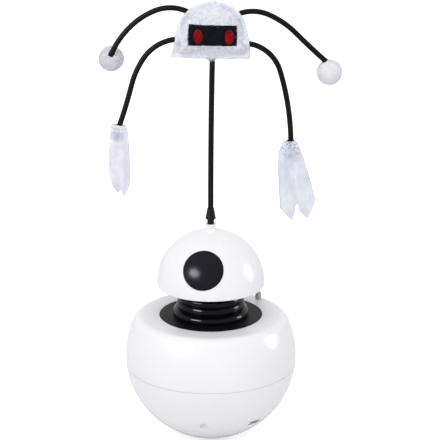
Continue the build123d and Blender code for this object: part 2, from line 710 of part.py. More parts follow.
def streamer_outline():
    """Outline of the streamer, with the middle of its top at the origin: a swallow tail below."""
    with BuildSketch() as outline:
        with BuildLine():
            top = STREAMER_TOP_WIDTH / 2
            shoulder = STREAMER_SHOULDER_WIDTH / 2
            left_shoulder = (-shoulder, -STREAMER_SHOULDER_DROP)
            right_shoulder = (shoulder, -STREAMER_SHOULDER_DROP)
            Polyline(left_shoulder, (-top, 0), (top, 0), right_shoulder)
            Spline(left_shoulder, below(STREAMER_LEFT_BULGE), below(STREAMER_LEFT_CORNER))
            Polyline(
                below(STREAMER_LEFT_CORNER),
                below(STREAMER_LEFT_TIP),
                below(STREAMER_NOTCH),
                below(STREAMER_RIGHT_TIP),
                below(STREAMER_RIGHT_CORNER),
            )
            Spline(right_shoulder, below(STREAMER_RIGHT_BULGE), below(STREAMER_RIGHT_CORNER))
        make_face()
    return outline.sketch


def arm_reach(path):
    """How far the end of an arm's path lies from the axis."""
    end = path @ 1
    return sqrt(end.X**2 + end.Y**2)


def eye_plane(distance):
    """Plane across the window's axis, at a distance from the head's centre."""
    out = direction(EYE_AZIMUTH, EYE_ELEVATION)
    origin = Vector(0, 0, head_centre) + out * distance
    return Plane(origin=origin, x_dir=direction(EYE_AZIMUTH + QUARTER_TURN), z_dir=out)


# Plane through the window's axis: its local y runs outwards along that axis from the head's centre.
eye_section = Plane(
    origin=(0, 0, head_centre),
    x_dir=direction(EYE_AZIMUTH + QUARTER_TURN),
    z_dir=direction(EYE_AZIMUTH, EYE_ELEVATION - QUARTER_TURN),
)
laser_plane = facing_plane(EYE_AZIMUTH, laser_reach, laser_height, LASER_PITCH)

large_screw = pan_screw(LARGE_SCREW_RADIUS, LARGE_HEAD_RADIUS, LARGE_HEAD_HEIGHT, SHELL_SCREW_LENGTH)
chassis_screw = pan_screw(SMALL_SCREW_RADIUS, SMALL_HEAD_RADIUS, SMALL_HEAD_HEIGHT, CHASSIS_SCREW_LENGTH)
tray_screw = pan_screw(SMALL_SCREW_RADIUS, SMALL_HEAD_RADIUS, SMALL_HEAD_HEIGHT, TRAY_SCREW_LENGTH)
head_screw = pan_screw(SMALL_SCREW_RADIUS, SMALL_HEAD_RADIUS, SMALL_HEAD_HEIGHT, HEAD_SCREW_LENGTH)
drive_screw = pan_screw(TINY_SCREW_RADIUS, TINY_HEAD_RADIUS, TINY_HEAD_HEIGHT, DRIVE_SCREW_LENGTH)
board_screw = pan_screw(TINY_SCREW_RADIUS, TINY_HEAD_RADIUS, TINY_HEAD_HEIGHT, BOARD_SCREW_LENGTH)
holder_screw = pan_screw(TINY_SCREW_RADIUS, TINY_HEAD_RADIUS, TINY_HEAD_HEIGHT, HOLDER_SCREW_LENGTH)

# ================================================================ lower bowl
# The hollow leaves the screw bosses standing.
with BuildPart() as bowl_hollow:
    with BuildSketch(Plane.XZ):
        with Locations((0, body_centre)):
            Circle(body_inner_radius)
        with Locations((0, floor_top)):
            Rectangle(BODY_RADIUS, BODY_RADIUS, align=RIGHT_HALF, mode=Mode.INTERSECT)
    revolve(axis=Axis.Z)
    with BuildSketch(Plane.XY):
        with PolarLocations(shell_screw_circle, SHELL_SCREW_COUNT, SHELL_SCREW_ANGLE):
            Circle(SHELL_BOSS_RADIUS)
    extrude(amount=seam_height, mode=Mode.SUBTRACT)
    with BuildSketch(Plane.XY):
        with PolarLocations(tray_screw_circle, TRAY_SCREW_COUNT, TRAY_SCREW_ANGLE):
            Circle(TRAY_BOSS_RADIUS)
    extrude(amount=TRAY_BOSS_TOP, mode=Mode.SUBTRACT)

with BuildPart() as lower_bowl:
    with BuildSketch(Plane.XZ):
        with Locations((0, body_centre)):
            Circle(BODY_RADIUS)
        with Locations((0, PAD_PROUD)):
            Rectangle(BODY_RADIUS, seam_height - PAD_PROUD, align=RIGHT_HALF, mode=Mode.INTERSECT)
    revolve(axis=Axis.Z)
    with BuildSketch(Plane.XY.offset(seam_height)):
        Circle(tongue_radius)
    extrude(amount=TONGUE_HEIGHT)
    add(bowl_hollow.part, mode=Mode.SUBTRACT)
    # groove along the seam
    with BuildSketch(Plane.XY.offset(seam_height)):
        Circle(BODY_RADIUS)
        Circle(seam_outer_radius - SEAM_GROOVE_DEPTH, mode=Mode.SUBTRACT)
    extrude(amount=-SEAM_GROOVE_WIDTH / 2, mode=Mode.SUBTRACT)
    # recess of the base pad
    with BuildSketch(Plane.XY):
        Circle(PAD_RADIUS + SEAT_PLAY)
    extrude(amount=PAD_THICKNESS, mode=Mode.SUBTRACT)
    # deep holes of the shell screws, open on the round underside
    with BuildSketch(Plane.XY):
        with PolarLocations(shell_screw_circle, SHELL_SCREW_COUNT, SHELL_SCREW_ANGLE):
            Circle(COUNTERBORE_RADIUS)
    extrude(amount=shell_screw_seat, mode=Mode.SUBTRACT)
    with BuildSketch(Plane.XY.offset(shell_screw_seat)):
        with PolarLocations(shell_screw_circle, SHELL_SCREW_COUNT, SHELL_SCREW_ANGLE):
            Circle(LARGE_SCREW_RADIUS + SLIDING_FIT)
    extrude(amount=seam_height - shell_screw_seat, mode=Mode.SUBTRACT)
    # pilot holes of the tray screws
    with BuildSketch(Plane.XY.offset(TRAY_BOSS_TOP)):
        with PolarLocations(tray_screw_circle, TRAY_SCREW_COUNT, TRAY_SCREW_ANGLE):
            Circle(SMALL_SCREW_RADIUS + SEAT_PLAY)
    extrude(amount=TRAY_THICKNESS - TRAY_SCREW_LENGTH - PILOT_EXTRA, mode=Mode.SUBTRACT)
    # pocket for the charging socket inside, and its slot through the wall
    with BuildSketch(facing_plane(PORT_ANGLE, board_start, PORT_HEIGHT)):
        Rectangle(SOCKET_WIDTH + 2 * SOCKET_POCKET_ROOM, SOCKET_HEIGHT + 2 * SOCKET_POCKET_ROOM)
    extrude(amount=socket_reach + SEAT_PLAY - board_start, mode=Mode.SUBTRACT)
    with BuildSketch(facing_plane(PORT_ANGLE, socket_reach, PORT_HEIGHT)):
        SlotOverall(PORT_SLOT_WIDTH, PORT_SLOT_HEIGHT)
    extrude(amount=BODY_RADIUS - socket_reach, mode=Mode.SUBTRACT)
finish(lower_bowl.part, "lower_bowl")

# ================================================================ upper shell
with BuildPart() as shell_hollow:
    with BuildSketch(Plane.XZ) as hollow_section:
        with Locations((0, body_centre)):
            Circle(body_inner_radius)
        with Locations((0, shoulder_inside)):
            Rectangle(2 * BODY_RADIUS, 2 * BODY_RADIUS, align=FROM_ABOVE, mode=Mode.INTERSECT)
        fillet(hollow_section.vertices().group_by(Axis.Y)[-1], SHOULDER_ROUNDING - BODY_WALL)
        with Locations((0, floor_top)):
            Rectangle(BODY_RADIUS, 2 * BODY_RADIUS, align=RIGHT_HALF, mode=Mode.INTERSECT)
    revolve(axis=Axis.Z)
    with BuildSketch(Plane.XY):
        with PolarLocations(shell_screw_circle, SHELL_SCREW_COUNT, SHELL_SCREW_ANGLE):
            Circle(SHELL_BOSS_RADIUS)
    extrude(amount=shoulder_height, mode=Mode.SUBTRACT)
    for screw in range(SHELL_SCREW_COUNT):
        with BuildSketch(radial_plane(SHELL_SCREW_ANGLE + screw * FULL_TURN / SHELL_SCREW_COUNT)):
            with Locations((shell_screw_circle, tongue_top + SEAM_GROOVE_WIDTH)):
                Rectangle(BODY_RADIUS, BODY_RADIUS, align=RIGHT_HALF)
        extrude(amount=SHELL_RIB_THICKNESS / 2, both=True, mode=Mode.SUBTRACT)
    # posts that carry the switch board
    with BuildSketch(level_plane(BUTTON_ANGLE, button_circle, switch_bottom)):
        with GridLocations(0, SWITCH_POST_SPACING, 1, 2):
            Circle(SWITCH_POST_RADIUS)
    extrude(amount=shoulder_height - switch_bottom, mode=Mode.SUBTRACT)

with BuildPart() as upper_shell:
    with BuildSketch(Plane.XZ) as shell_section:
        with Locations((0, body_centre)):
            Circle(BODY_RADIUS)
        with Locations((0, shoulder_height)):
            Rectangle(2 * BODY_RADIUS, 2 * BODY_RADIUS, align=FROM_ABOVE, mode=Mode.INTERSECT)
        fillet(shell_section.vertices().group_by(Axis.Y)[-1], SHOULDER_ROUNDING)
        with Locations((0, seam_height)):
            Rectangle(BODY_RADIUS, BODY_RADIUS, align=RIGHT_HALF, mode=Mode.INTERSECT)
    revolve(axis=Axis.Z)
    add(shell_hollow.part, mode=Mode.SUBTRACT)
    # rabbet over the tongue, and the groove along the seam
    with BuildSketch(Plane.XY.offset(seam_height)):
        Circle(tongue_radius + SEAT_PLAY)
        Circle(seam_inner_radius - TONGUE_THICKNESS, mode=Mode.SUBTRACT)
    extrude(amount=TONGUE_HEIGHT, mode=Mode.SUBTRACT)
    with BuildSketch(Plane.XY.offset(seam_height)):
        Circle(BODY_RADIUS)
        Circle(seam_outer_radius - SEAM_GROOVE_DEPTH, mode=Mode.SUBTRACT)
    extrude(amount=SEAM_GROOVE_WIDTH / 2, mode=Mode.SUBTRACT)
    # ledge that carries the collar
    with BuildSketch(Plane.XY.offset(ledge_bottom)):
        Circle(ledge_radius)
    extrude(amount=LEDGE_THICKNESS)
    with BuildSketch(Plane.XY.offset(collar_bottom)):
        Circle(collar_radius + SEAT_PLAY)
    extrude(amount=COLLAR_THICKNESS, mode=Mode.SUBTRACT)
    with BuildSketch(Plane.XY.offset(ledge_bottom)):
        Circle(ledge_opening_radius)
    extrude(amount=LEDGE_THICKNESS, mode=Mode.SUBTRACT)
    # pilot holes of the shell screws
    with BuildSketch(Plane.XY.offset(seam_height)):
        with PolarLocations(shell_screw_circle, SHELL_SCREW_COUNT, SHELL_SCREW_ANGLE):
            Circle(LARGE_SCREW_RADIUS + SEAT_PLAY)
    extrude(amount=shell_screw_seat + SHELL_SCREW_LENGTH + PILOT_EXTRA - seam_height, mode=Mode.SUBTRACT)
    # hole of the button, and pilot holes in the posts of the switch board
    with BuildSketch(level_plane(BUTTON_ANGLE, button_circle, shoulder_inside)):
        Circle(BUTTON_RADIUS + SLIDING_FIT)
    extrude(amount=BODY_WALL, mode=Mode.SUBTRACT)
    with BuildSketch(level_plane(BUTTON_ANGLE, button_circle, switch_bottom)):
        with GridLocations(0, SWITCH_POST_SPACING, 1, 2):
            Circle(TINY_SCREW_RADIUS + SEAT_PLAY)
    extrude(amount=BOARD_SCREW_LENGTH + PILOT_EXTRA - BOARD_THICKNESS, mode=Mode.SUBTRACT)
finish(upper_shell.part, "upper_shell")

with BuildPart() as base_pad:
    with BuildSketch(Plane.XY):
        Circle(PAD_RADIUS)
    extrude(amount=PAD_THICKNESS)
    fillet(base_pad.edges().group_by(Axis.Z)[0], PAD_PROUD / 2)
finish(base_pad.part, "base_pad")

with BuildPart() as shell_screws:
    with Locations(Plane.XY.offset(shell_screw_seat)):
        with PolarLocations(shell_screw_circle, SHELL_SCREW_COUNT, SHELL_SCREW_ANGLE):
            add(large_screw)
finish(shell_screws.part, "shell_screws")

# ================================================================ weight, tray, cell and boards
with BuildPart() as counterweight:
    with BuildSketch(Plane.XZ):
        with Locations((0, body_centre)):
            Circle(body_inner_radius - WEIGHT_GAP)
        with Locations((0, floor_top)):
            Rectangle(WEIGHT_RADIUS, weight_top - floor_top, align=RIGHT_HALF, mode=Mode.INTERSECT)
    revolve(axis=Axis.Z)
finish(counterweight.part, "counterweight")

with BuildPart() as cell_tray:
    with BuildSketch(Plane.XY.offset(tray_bottom)):
        Circle(tray_radius)
        with PolarLocations(tray_screw_circle, TRAY_SCREW_COUNT, TRAY_SCREW_ANGLE):
            Circle(SMALL_SCREW_RADIUS + SLIDING_FIT, mode=Mode.SUBTRACT)
    extrude(amount=TRAY_THICKNESS)
    # two saddles for the cell
    for side in (-1, 1):
        with BuildSketch(radial_plane(PORT_ANGLE).offset(side * SADDLE_SPREAD / 2)):
            with Locations((-CELL_SETBACK, tray_bottom)):
                saddle_width = 2 * (CELL_RADIUS + SADDLE_WALL)
                Rectangle(saddle_width, cell_height - tray_bottom + SADDLE_RISE, align=FROM_BELOW)
            with Locations((-CELL_SETBACK, cell_height)):
                Circle(CELL_RADIUS + SEAT_PLAY, mode=Mode.SUBTRACT)
        extrude(amount=SADDLE_THICKNESS / 2, both=True)
    # posts for the control board
    with BuildSketch(level_plane(PORT_ANGLE, board_middle, tray_bottom)):
        with GridLocations(board_hole_spacing_x, board_hole_spacing_y, 2, 2):
            Circle(BOARD_POST_RADIUS)
    extrude(amount=board_bottom - tray_bottom)
    with BuildSketch(level_plane(PORT_ANGLE, board_middle, tray_bottom)):
        with GridLocations(board_hole_spacing_x, board_hole_spacing_y, 2, 2):
            Circle(TINY_SCREW_RADIUS + SEAT_PLAY)
    extrude(amount=board_bottom - tray_bottom, mode=Mode.SUBTRACT)
finish(cell_tray.part, "cell_tray")

with BuildPart() as tray_screws:
    with Locations(Plane((0, 0, tray_top), x_dir=(1, 0, 0), z_dir=(0, 0, -1))):
        with PolarLocations(tray_screw_circle, TRAY_SCREW_COUNT, -TRAY_SCREW_ANGLE):
            add(tray_screw)
finish(tray_screws.part, "tray_screws")

with BuildPart() as battery_cell:
    with BuildSketch(radial_plane(PORT_ANGLE).offset(-CELL_LENGTH / 2)):
        with Locations((-CELL_SETBACK, cell_height)):
            Circle(CELL_RADIUS)
    extrude(amount=CELL_LENGTH)
    with BuildSketch(radial_plane(PORT_ANGLE).offset(CELL_LENGTH / 2)):
        with Locations((-CELL_SETBACK, cell_height)):
            Circle(CELL_BUTTON_RADIUS)
    extrude(amount=CELL_BUTTON_HEIGHT)
finish(battery_cell.part, "battery_cell")

with BuildPart() as control_board:
    with BuildSketch(level_plane(PORT_ANGLE, board_middle, board_bottom)):
        Rectangle(BOARD_LENGTH, BOARD_WIDTH)
        with Locations((-BOARD_LENGTH / 2, 0)):
            tongue_length = socket_reach - BOARD_TONGUE_GAP - board_start
            Rectangle(tongue_length, BOARD_TONGUE_WIDTH, align=(Align.MIN, Align.CENTER))
        with GridLocations(board_hole_spacing_x, board_hole_spacing_y, 2, 2):
            Circle(TINY_SCREW_RADIUS + SLIDING_FIT, mode=Mode.SUBTRACT)
    extrude(amount=BOARD_THICKNESS)
    with BuildSketch(level_plane(PORT_ANGLE, board_middle, board_top)):
        Rectangle(CHIP_SIZE, CHIP_SIZE)
    extrude(amount=CHIP_HEIGHT)
    with BuildSketch(level_plane(PORT_ANGLE, board_middle - CHIP_SIZE, board_top)):
        Circle(CAPACITOR_RADIUS)
    extrude(amount=CAPACITOR_HEIGHT)
finish(control_board.part, "control_board")

# Four screws hold the control board and two hold the switch board.
with BuildPart() as board_screws:
    with Locations(level_plane(PORT_ANGLE, board_middle, board_top, up=-1)):
        with GridLocations(board_hole_spacing_x, board_hole_spacing_y, 2, 2):
            add(board_screw)
    with Locations(level_plane(BUTTON_ANGLE, button_circle, switch_board_bottom)):
        with GridLocations(0, SWITCH_POST_SPACING, 1, 2):
            add(board_screw)
finish(board_screws.part, "board_screws")

with BuildPart() as charge_socket:
    with BuildSketch(facing_plane(PORT_ANGLE, socket_reach, PORT_HEIGHT)):
        RectangleRounded(SOCKET_WIDTH, SOCKET_HEIGHT, SOCKET_CORNER)
    extrude(amount=-SOCKET_LENGTH)
    with BuildSketch(facing_plane(PORT_ANGLE, socket_reach, PORT_HEIGHT)):
        Rectangle(SOCKET_WIDTH - 2 * SOCKET_SHELL, SOCKET_HEIGHT - 2 * SOCKET_SHELL)
        Rectangle(SOCKET_BLADE_WIDTH, SOCKET_BLADE_THICKNESS, mode=Mode.SUBTRACT)
    extrude(amount=-SOCKET_MOUTH_DEPTH, mode=Mode.SUBTRACT)
finish(charge_socket.part, "charge_socket")

# ================================================================ collar with the ribbed neck
with BuildPart() as neck_collar:
    with BuildSketch(Plane.XY.offset(collar_bottom)):
        Circle(collar_radius)
    extrude(amount=COLLAR_THICKNESS)
    fillet(neck_collar.edges().group_by(Axis.Z)[-1], COLLAR_EDGE_ROUNDING)
    # ribbed neck: a wide foot ring, rings that shrink a little, and a top ring
    with BuildSketch(Plane.XZ):
        with BuildLine():
            foot_radius = NECK_RADIUS + NECK_FOOT_FLARE
            foot_point = (foot_radius + NECK_FOOT_BULGE, shoulder_height + NECK_FOOT_HEIGHT / 2)
            ThreePointArc((foot_radius, shoulder_height), foot_point, (NECK_RADIUS, neck_base))
            for ring in range(FULL_RINGS):
                groove_radius = NECK_RADIUS - ring * NECK_TAPER
                groove_height = neck_base + ring * RING_PITCH
                ring_point = (groove_radius - NECK_TAPER / 2 + RING_BULGE, groove_height + RING_PITCH / 2)
                next_groove = (groove_radius - NECK_TAPER, groove_height + RING_PITCH)
                ThreePointArc((groove_radius, groove_height), ring_point, next_groove)
            top_ring_point = (neck_top_radius + RING_BULGE, neck_top - TOP_RING_HEIGHT / 2)
            ThreePointArc(next_groove, top_ring_point, (neck_top_radius, neck_top))
            Polyline(
                (neck_top_radius, neck_top),
                (0, neck_top),
                (0, collar_bottom),
                (foot_radius, collar_bottom),
                (foot_radius, shoulder_height),
            )
        make_face()
    revolve(axis=Axis.Z)
    # skirt that centres the collar in the shell, and bosses for the chassis screws
    with BuildSketch(Plane.XY.offset(ledge_bottom + SEAT_PLAY)):
        Circle(skirt_radius)
        Circle(skirt_radius - SKIRT_THICKNESS, mode=Mode.SUBTRACT)
        with PolarLocations(chassis_screw_circle, CHASSIS_SCREW_COUNT, CHASSIS_SCREW_ANGLE):
            Circle(CHASSIS_BOSS_RADIUS)
    extrude(amount=LEDGE_THICKNESS)
    # hollow below the web, and the boss of the upper bush
    with BuildSketch(Plane.XY.offset(collar_bottom)):
        Circle(neck_inner_radius)
    extrude(amount=web_bottom - collar_bottom, mode=Mode.SUBTRACT)
    with BuildSketch(Plane.XY.offset(upper_bush_seat)):
        Circle(bush_boss_radius)
    extrude(amount=-BUSH_LENGTH)
    with BuildSketch(Plane.XY.offset(upper_bush_seat)):
        Circle(neck_inner_radius)
    extrude(amount=BUSH_FLANGE_THICKNESS, mode=Mode.SUBTRACT)
    with BuildSketch(Plane.XY.offset(upper_bush_seat)):
        Circle(bush_radius + SEAT_PLAY)
    extrude(amount=-BUSH_LENGTH, mode=Mode.SUBTRACT)
    with BuildSketch(Plane.XY.offset(ledge_bottom)):
        with PolarLocations(chassis_screw_circle, CHASSIS_SCREW_COUNT, CHASSIS_SCREW_ANGLE):
            Circle(SMALL_SCREW_RADIUS + SEAT_PLAY)
    extrude(amount=CHASSIS_SCREW_LENGTH + PILOT_EXTRA - CHASSIS_THICKNESS, mode=Mode.SUBTRACT)
finish(neck_collar.part, "neck_collar")

# ================================================================ chassis and bushes
with BuildPart() as chassis:
    with BuildSketch(Plane.XY.offset(chassis_bottom)):
        Circle(chassis_radius)
    extrude(amount=CHASSIS_THICKNESS)
    # cup round the gear and the pinion
    with BuildSketch(drive_plane(cup_floor_bottom)):
        Circle(gear_room + CUP_WALL)
        with Locations((0, mesh_distance)):
            Circle(pinion_room + CUP_WALL)
        make_hull()
    extrude(amount=CUP_FLOOR + CUP_DEPTH)
    with BuildSketch(drive_plane(cup_floor_top)):
        Circle(gear_room)
        with Locations((0, mesh_distance)):
            Circle(pinion_room)
        make_hull()
    extrude(amount=CUP_DEPTH, mode=Mode.SUBTRACT)
    # boss of the lower bush
    with BuildSketch(Plane.XY.offset(cup_floor_top)):
        Circle(bush_boss_radius)
    extrude(amount=-BUSH_LENGTH)
    with BuildSketch(Plane.XY.offset(cup_floor_top)):
        Circle(bush_radius + SEAT_PLAY)
    extrude(amount=-BUSH_LENGTH, mode=Mode.SUBTRACT)
    # hole for the gearbox's nose, and screw holes of the gearbox, the brush block and the collar
    with BuildSketch(drive_plane(cup_floor_bottom)):
        with Locations((0, mesh_distance)):
            Circle(GEARBOX_NOSE_RADIUS + SEAT_PLAY)
            with GridLocations(MOTOR_SCREW_SPACING, 0, 2, 1):
                Circle(TINY_SCREW_RADIUS + SLIDING_FIT)
        with Locations((0, -brush_middle)):
            with GridLocations(BRUSH_SCREW_SPACING, 0, 2, 1):
                Circle(TINY_SCREW_RADIUS + SEAT_PLAY)
    extrude(amount=CUP_FLOOR, mode=Mode.SUBTRACT)
    with BuildSketch(Plane.XY.offset(chassis_bottom)):
        with PolarLocations(chassis_screw_circle, CHASSIS_SCREW_COUNT, CHASSIS_SCREW_ANGLE):
            Circle(SMALL_SCREW_RADIUS + SLIDING_FIT)
    extrude(amount=CHASSIS_THICKNESS, mode=Mode.SUBTRACT)
finish(chassis.part, "chassis")

with BuildPart() as chassis_screws:
    with Locations(Plane.XY.offset(chassis_bottom)):
        with PolarLocations(chassis_screw_circle, CHASSIS_SCREW_COUNT, CHASSIS_SCREW_ANGLE):
            add(chassis_screw)
finish(chassis_screws.part, "chassis_screws")

with BuildPart() as lower_bush:
    add(flanged_bush(cup_floor_top))
finish(lower_bush.part, "lower_bush")

with BuildPart() as upper_bush:
    add(flanged_bush(upper_bush_seat))
finish(upper_bush.part, "upper_bush")

with BuildPart() as thrust_washer:
    with BuildSketch(Plane.XY.offset(neck_top)):
        Circle(WASHER_RADIUS)
        Circle(SPINDLE_RADIUS + SLIDING_FIT, mode=Mode.SUBTRACT)
    extrude(amount=WASHER_THICKNESS)
finish(thrust_washer.part, "thrust_washer")

# ================================================================ gear motor
with BuildPart() as gear_motor:
    with BuildSketch(drive_plane(cup_floor_bottom)):
        with Locations((0, mesh_distance)):
            Rectangle(GEARBOX_WIDTH, GEARBOX_DEPTH)
    extrude(amount=-GEARBOX_LENGTH)
    with BuildSketch(drive_plane(cup_floor_bottom)):
        with Locations((0, mesh_distance)):
            Circle(GEARBOX_NOSE_RADIUS)
    extrude(amount=GEARBOX_NOSE_HEIGHT)
    # round can with two flats
    with BuildSketch(drive_plane(cup_floor_bottom - GEARBOX_LENGTH)):
        with Locations((0, mesh_distance)):
            Circle(MOTOR_RADIUS)
            Rectangle(GEARBOX_WIDTH, GEARBOX_DEPTH, mode=Mode.INTERSECT)
    extrude(amount=-MOTOR_LENGTH)
    with BuildSketch(drive_plane(cup_floor_bottom - GEARBOX_LENGTH - MOTOR_LENGTH)):
        with Locations((0, mesh_distance)):
            with GridLocations(TERMINAL_SPACING, 0, 2, 1):
                Rectangle(TERMINAL_WIDTH, TERMINAL_THICKNESS)
    extrude(amount=-MOTOR_TERMINAL_LENGTH)
    # bearing of the shaft, and screw holes
    with BuildSketch(drive_plane(shaft_bottom)):
        with Locations((0, mesh_distance)):
            Circle(MOTOR_SHAFT_RADIUS + RUNNING_FIT)
    extrude(amount=SHAFT_BEARING_DEPTH, mode=Mode.SUBTRACT)
    with BuildSketch(drive_plane(cup_floor_bottom)):
        with Locations((0, mesh_distance)):
            with GridLocations(MOTOR_SCREW_SPACING, 0, 2, 1):
                Circle(TINY_SCREW_RADIUS + SEAT_PLAY)
    extrude(amount=CUP_FLOOR - DRIVE_SCREW_LENGTH - PILOT_EXTRA, mode=Mode.SUBTRACT)
finish(gear_motor.part, "gear_motor")

# Two screws hold the gearbox from above and two hold the brush block from below.
with BuildPart() as drive_screws:
    with Locations(drive_plane(cup_floor_top, up=-1)):
        with Locations((0, -mesh_distance)):
            with GridLocations(MOTOR_SCREW_SPACING, 0, 2, 1):
                add(drive_screw)
    with Locations(drive_plane(cup_floor_bottom - BRUSH_FOOT_THICKNESS)):
        with Locations((0, -brush_middle)):
            with GridLocations(BRUSH_SCREW_SPACING, 0, 2, 1):
                add(drive_screw)
finish(drive_screws.part, "drive_screws")

with BuildPart() as motor_shaft:
    with BuildSketch(drive_plane(shaft_bottom + SLIDING_FIT)):
        with Locations((0, mesh_distance)):
            Circle(MOTOR_SHAFT_RADIUS)
    extrude(amount=SHAFT_BEARING_DEPTH)
    with BuildSketch(drive_plane(shaft_bottom + SLIDING_FIT + SHAFT_BEARING_DEPTH)):
        add(flatted_shaft(MOTOR_SHAFT_RADIUS))
    extrude(amount=shaft_top - shaft_bottom - SLIDING_FIT - SHAFT_BEARING_DEPTH)
finish(motor_shaft.part, "motor_shaft")

with BuildPart() as motor_pinion:
    with BuildSketch(drive_plane(pinion_bottom)):
        with Locations((0, mesh_distance)):
            draw_gear(PINION_TEETH, FULL_TURN / PINION_TEETH / 2)
        add(flatted_shaft(MOTOR_SHAFT_RADIUS + SEAT_PLAY), mode=Mode.SUBTRACT)
    extrude(amount=PINION_FACE)
finish(motor_pinion.part, "motor_pinion")

# ================================================================ slip rings and brushes
with BuildPart() as brush_block:
    with BuildSketch(drive_plane(cup_floor_bottom)):
        with Locations((0, -brush_middle)):
            Rectangle(BRUSH_BLOCK_WIDTH, BRUSH_BLOCK_THICKNESS)
    extrude(amount=-BRUSH_BLOCK_DROP)
    with BuildSketch(drive_plane(cup_floor_bottom)):
        with Locations((0, -brush_middle)):
            Rectangle(BRUSH_FOOT_WIDTH, BRUSH_BLOCK_THICKNESS)
            with GridLocations(BRUSH_SCREW_SPACING, 0, 2, 1):
                Circle(TINY_SCREW_RADIUS + SLIDING_FIT, mode=Mode.SUBTRACT)
    extrude(amount=-BRUSH_FOOT_THICKNESS)
    with BuildSketch(facing_plane(brush_angle, brush_face, slip_middle)):
        with GridLocations(2 * brush_wire_reach, SLIP_RING_SPACING, 2, 2):
            Circle(BRUSH_WIRE_RADIUS + SEAT_PLAY)
    extrude(amount=BRUSH_BLOCK_THICKNESS, mode=Mode.SUBTRACT)
finish(brush_block.part, "brush_block")

with BuildPart() as brush_wires:
    with BuildSketch(facing_plane(brush_angle, brush_wire_start, slip_middle)):
        with GridLocations(2 * brush_wire_reach, SLIP_RING_SPACING, 2, 2):
            Circle(BRUSH_WIRE_RADIUS)
    extrude(amount=-(brush_wire_start + BRUSH_OVERRUN))
finish(brush_wires.part, "brush_wires")

with BuildPart() as slip_sleeve:
    with BuildSketch(Plane.XY.offset(slip_sleeve_bottom)):
        Circle(slip_sleeve_radius)
        Circle(SPINDLE_RADIUS + SEAT_PLAY, mode=Mode.SUBTRACT)
    extrude(amount=SLIP_SLEEVE_LENGTH)
finish(slip_sleeve.part, "slip_sleeve")

with BuildPart() as slip_rings:
    for side in (-1, 1):
        with BuildSketch(Plane.XY.offset(slip_middle + side * SLIP_RING_SPACING / 2)):
            Circle(slip_ring_radius)
            Circle(slip_sleeve_radius, mode=Mode.SUBTRACT)
        extrude(amount=SLIP_RING_WIDTH / 2, both=True)
finish(slip_rings.part, "slip_rings")

# ================================================================ spindle and its gear
with BuildPart() as spindle:
    with BuildSketch(Plane.XY.offset(spindle_bottom)):
        Circle(SPINDLE_RADIUS)
    extrude(amount=underplate_bottom - spindle_bottom)
    with BuildSketch(Plane.XY.offset(spindle_flange_bottom)):
        Circle(SPINDLE_FLANGE_RADIUS)
    extrude(amount=SPINDLE_FLANGE_THICKNESS)
    with BuildSketch(Plane.XY.offset(underplate_bottom)):
        Circle(SPINDLE_RADIUS)
        Rectangle(2 * SPINDLE_RADIUS, DRIVE_FLATS, mode=Mode.INTERSECT)
    extrude(amount=DRIVE_END_HEIGHT)
    for groove_bottom in (lower_clip_bottom, upper_clip_bottom):
        with BuildSketch(Plane.XY.offset(groove_bottom)):
            Circle(SPINDLE_FLANGE_RADIUS)
            Circle(clip_groove_radius, mode=Mode.SUBTRACT)
        extrude(amount=CLIP_THICKNESS + SEAT_PLAY, mode=Mode.SUBTRACT)
    with BuildSketch(Plane.XY.offset(spindle_bottom)):
        Circle(SPINDLE_BORE_RADIUS)
    extrude(amount=spindle_top - spindle_bottom, mode=Mode.SUBTRACT)
finish(spindle.part, "spindle")

with BuildPart() as spindle_clips:
    add(spring_clip(lower_clip_bottom))
    add(spring_clip(upper_clip_bottom))
finish(spindle_clips.part, "spindle_clips")

with BuildPart() as spindle_gear:
    with BuildSketch(Plane.XY.offset(gear_bottom)):
        draw_gear(GEAR_TEETH, MOTOR_ANGLE)
    extrude(amount=GEAR_FACE)
    with BuildSketch(Plane.XY.offset(gear_bottom + GEAR_FACE)):
        Circle(GEAR_HUB_RADIUS)
    extrude(amount=GEAR_HUB_HEIGHT)
    with BuildSketch(Plane.XY.offset(gear_bottom)):
        Circle(SPINDLE_RADIUS + SEAT_PLAY)
    extrude(amount=GEAR_FACE + GEAR_HUB_HEIGHT, mode=Mode.SUBTRACT)
finish(spindle_gear.part, "spindle_gear")

# ================================================================ button and its switch
with BuildPart() as mode_button:
    with BuildSketch(level_plane(BUTTON_ANGLE, button_circle, button_flange_bottom)):
        Circle(BUTTON_RADIUS)
    extrude(amount=shoulder_height + BUTTON_HEIGHT - button_flange_bottom)
    fillet(mode_button.edges().group_by(Axis.Z)[-1], BUTTON_ROUNDING)
    with BuildSketch(level_plane(BUTTON_ANGLE, button_circle, button_flange_bottom)):
        Circle(BUTTON_FLANGE_RADIUS)
    extrude(amount=BUTTON_FLANGE_THICKNESS)
finish(mode_button.part, "mode_button")

with BuildPart() as switch_plunger:
    with BuildSketch(level_plane(BUTTON_ANGLE, button_circle, plunger_bottom)):
        Circle(PLUNGER_RADIUS)
    extrude(amount=PLUNGER_DEPTH + PLUNGER_HEIGHT)
finish(switch_plunger.part, "switch_plunger")

with BuildPart() as button_switch:
    with BuildSketch(level_plane(BUTTON_ANGLE, button_circle, switch_bottom)):
        Rectangle(SWITCH_SIZE, SWITCH_SIZE)
    extrude(amount=SWITCH_BODY_HEIGHT)
    with BuildSketch(level_plane(BUTTON_ANGLE, button_circle, switch_top)):
        Circle(PLUNGER_RADIUS + SLIDING_FIT)
    extrude(amount=-(PLUNGER_DEPTH + BUTTON_TRAVEL + SLIDING_FIT), mode=Mode.SUBTRACT)
finish(button_switch.part, "button_switch")

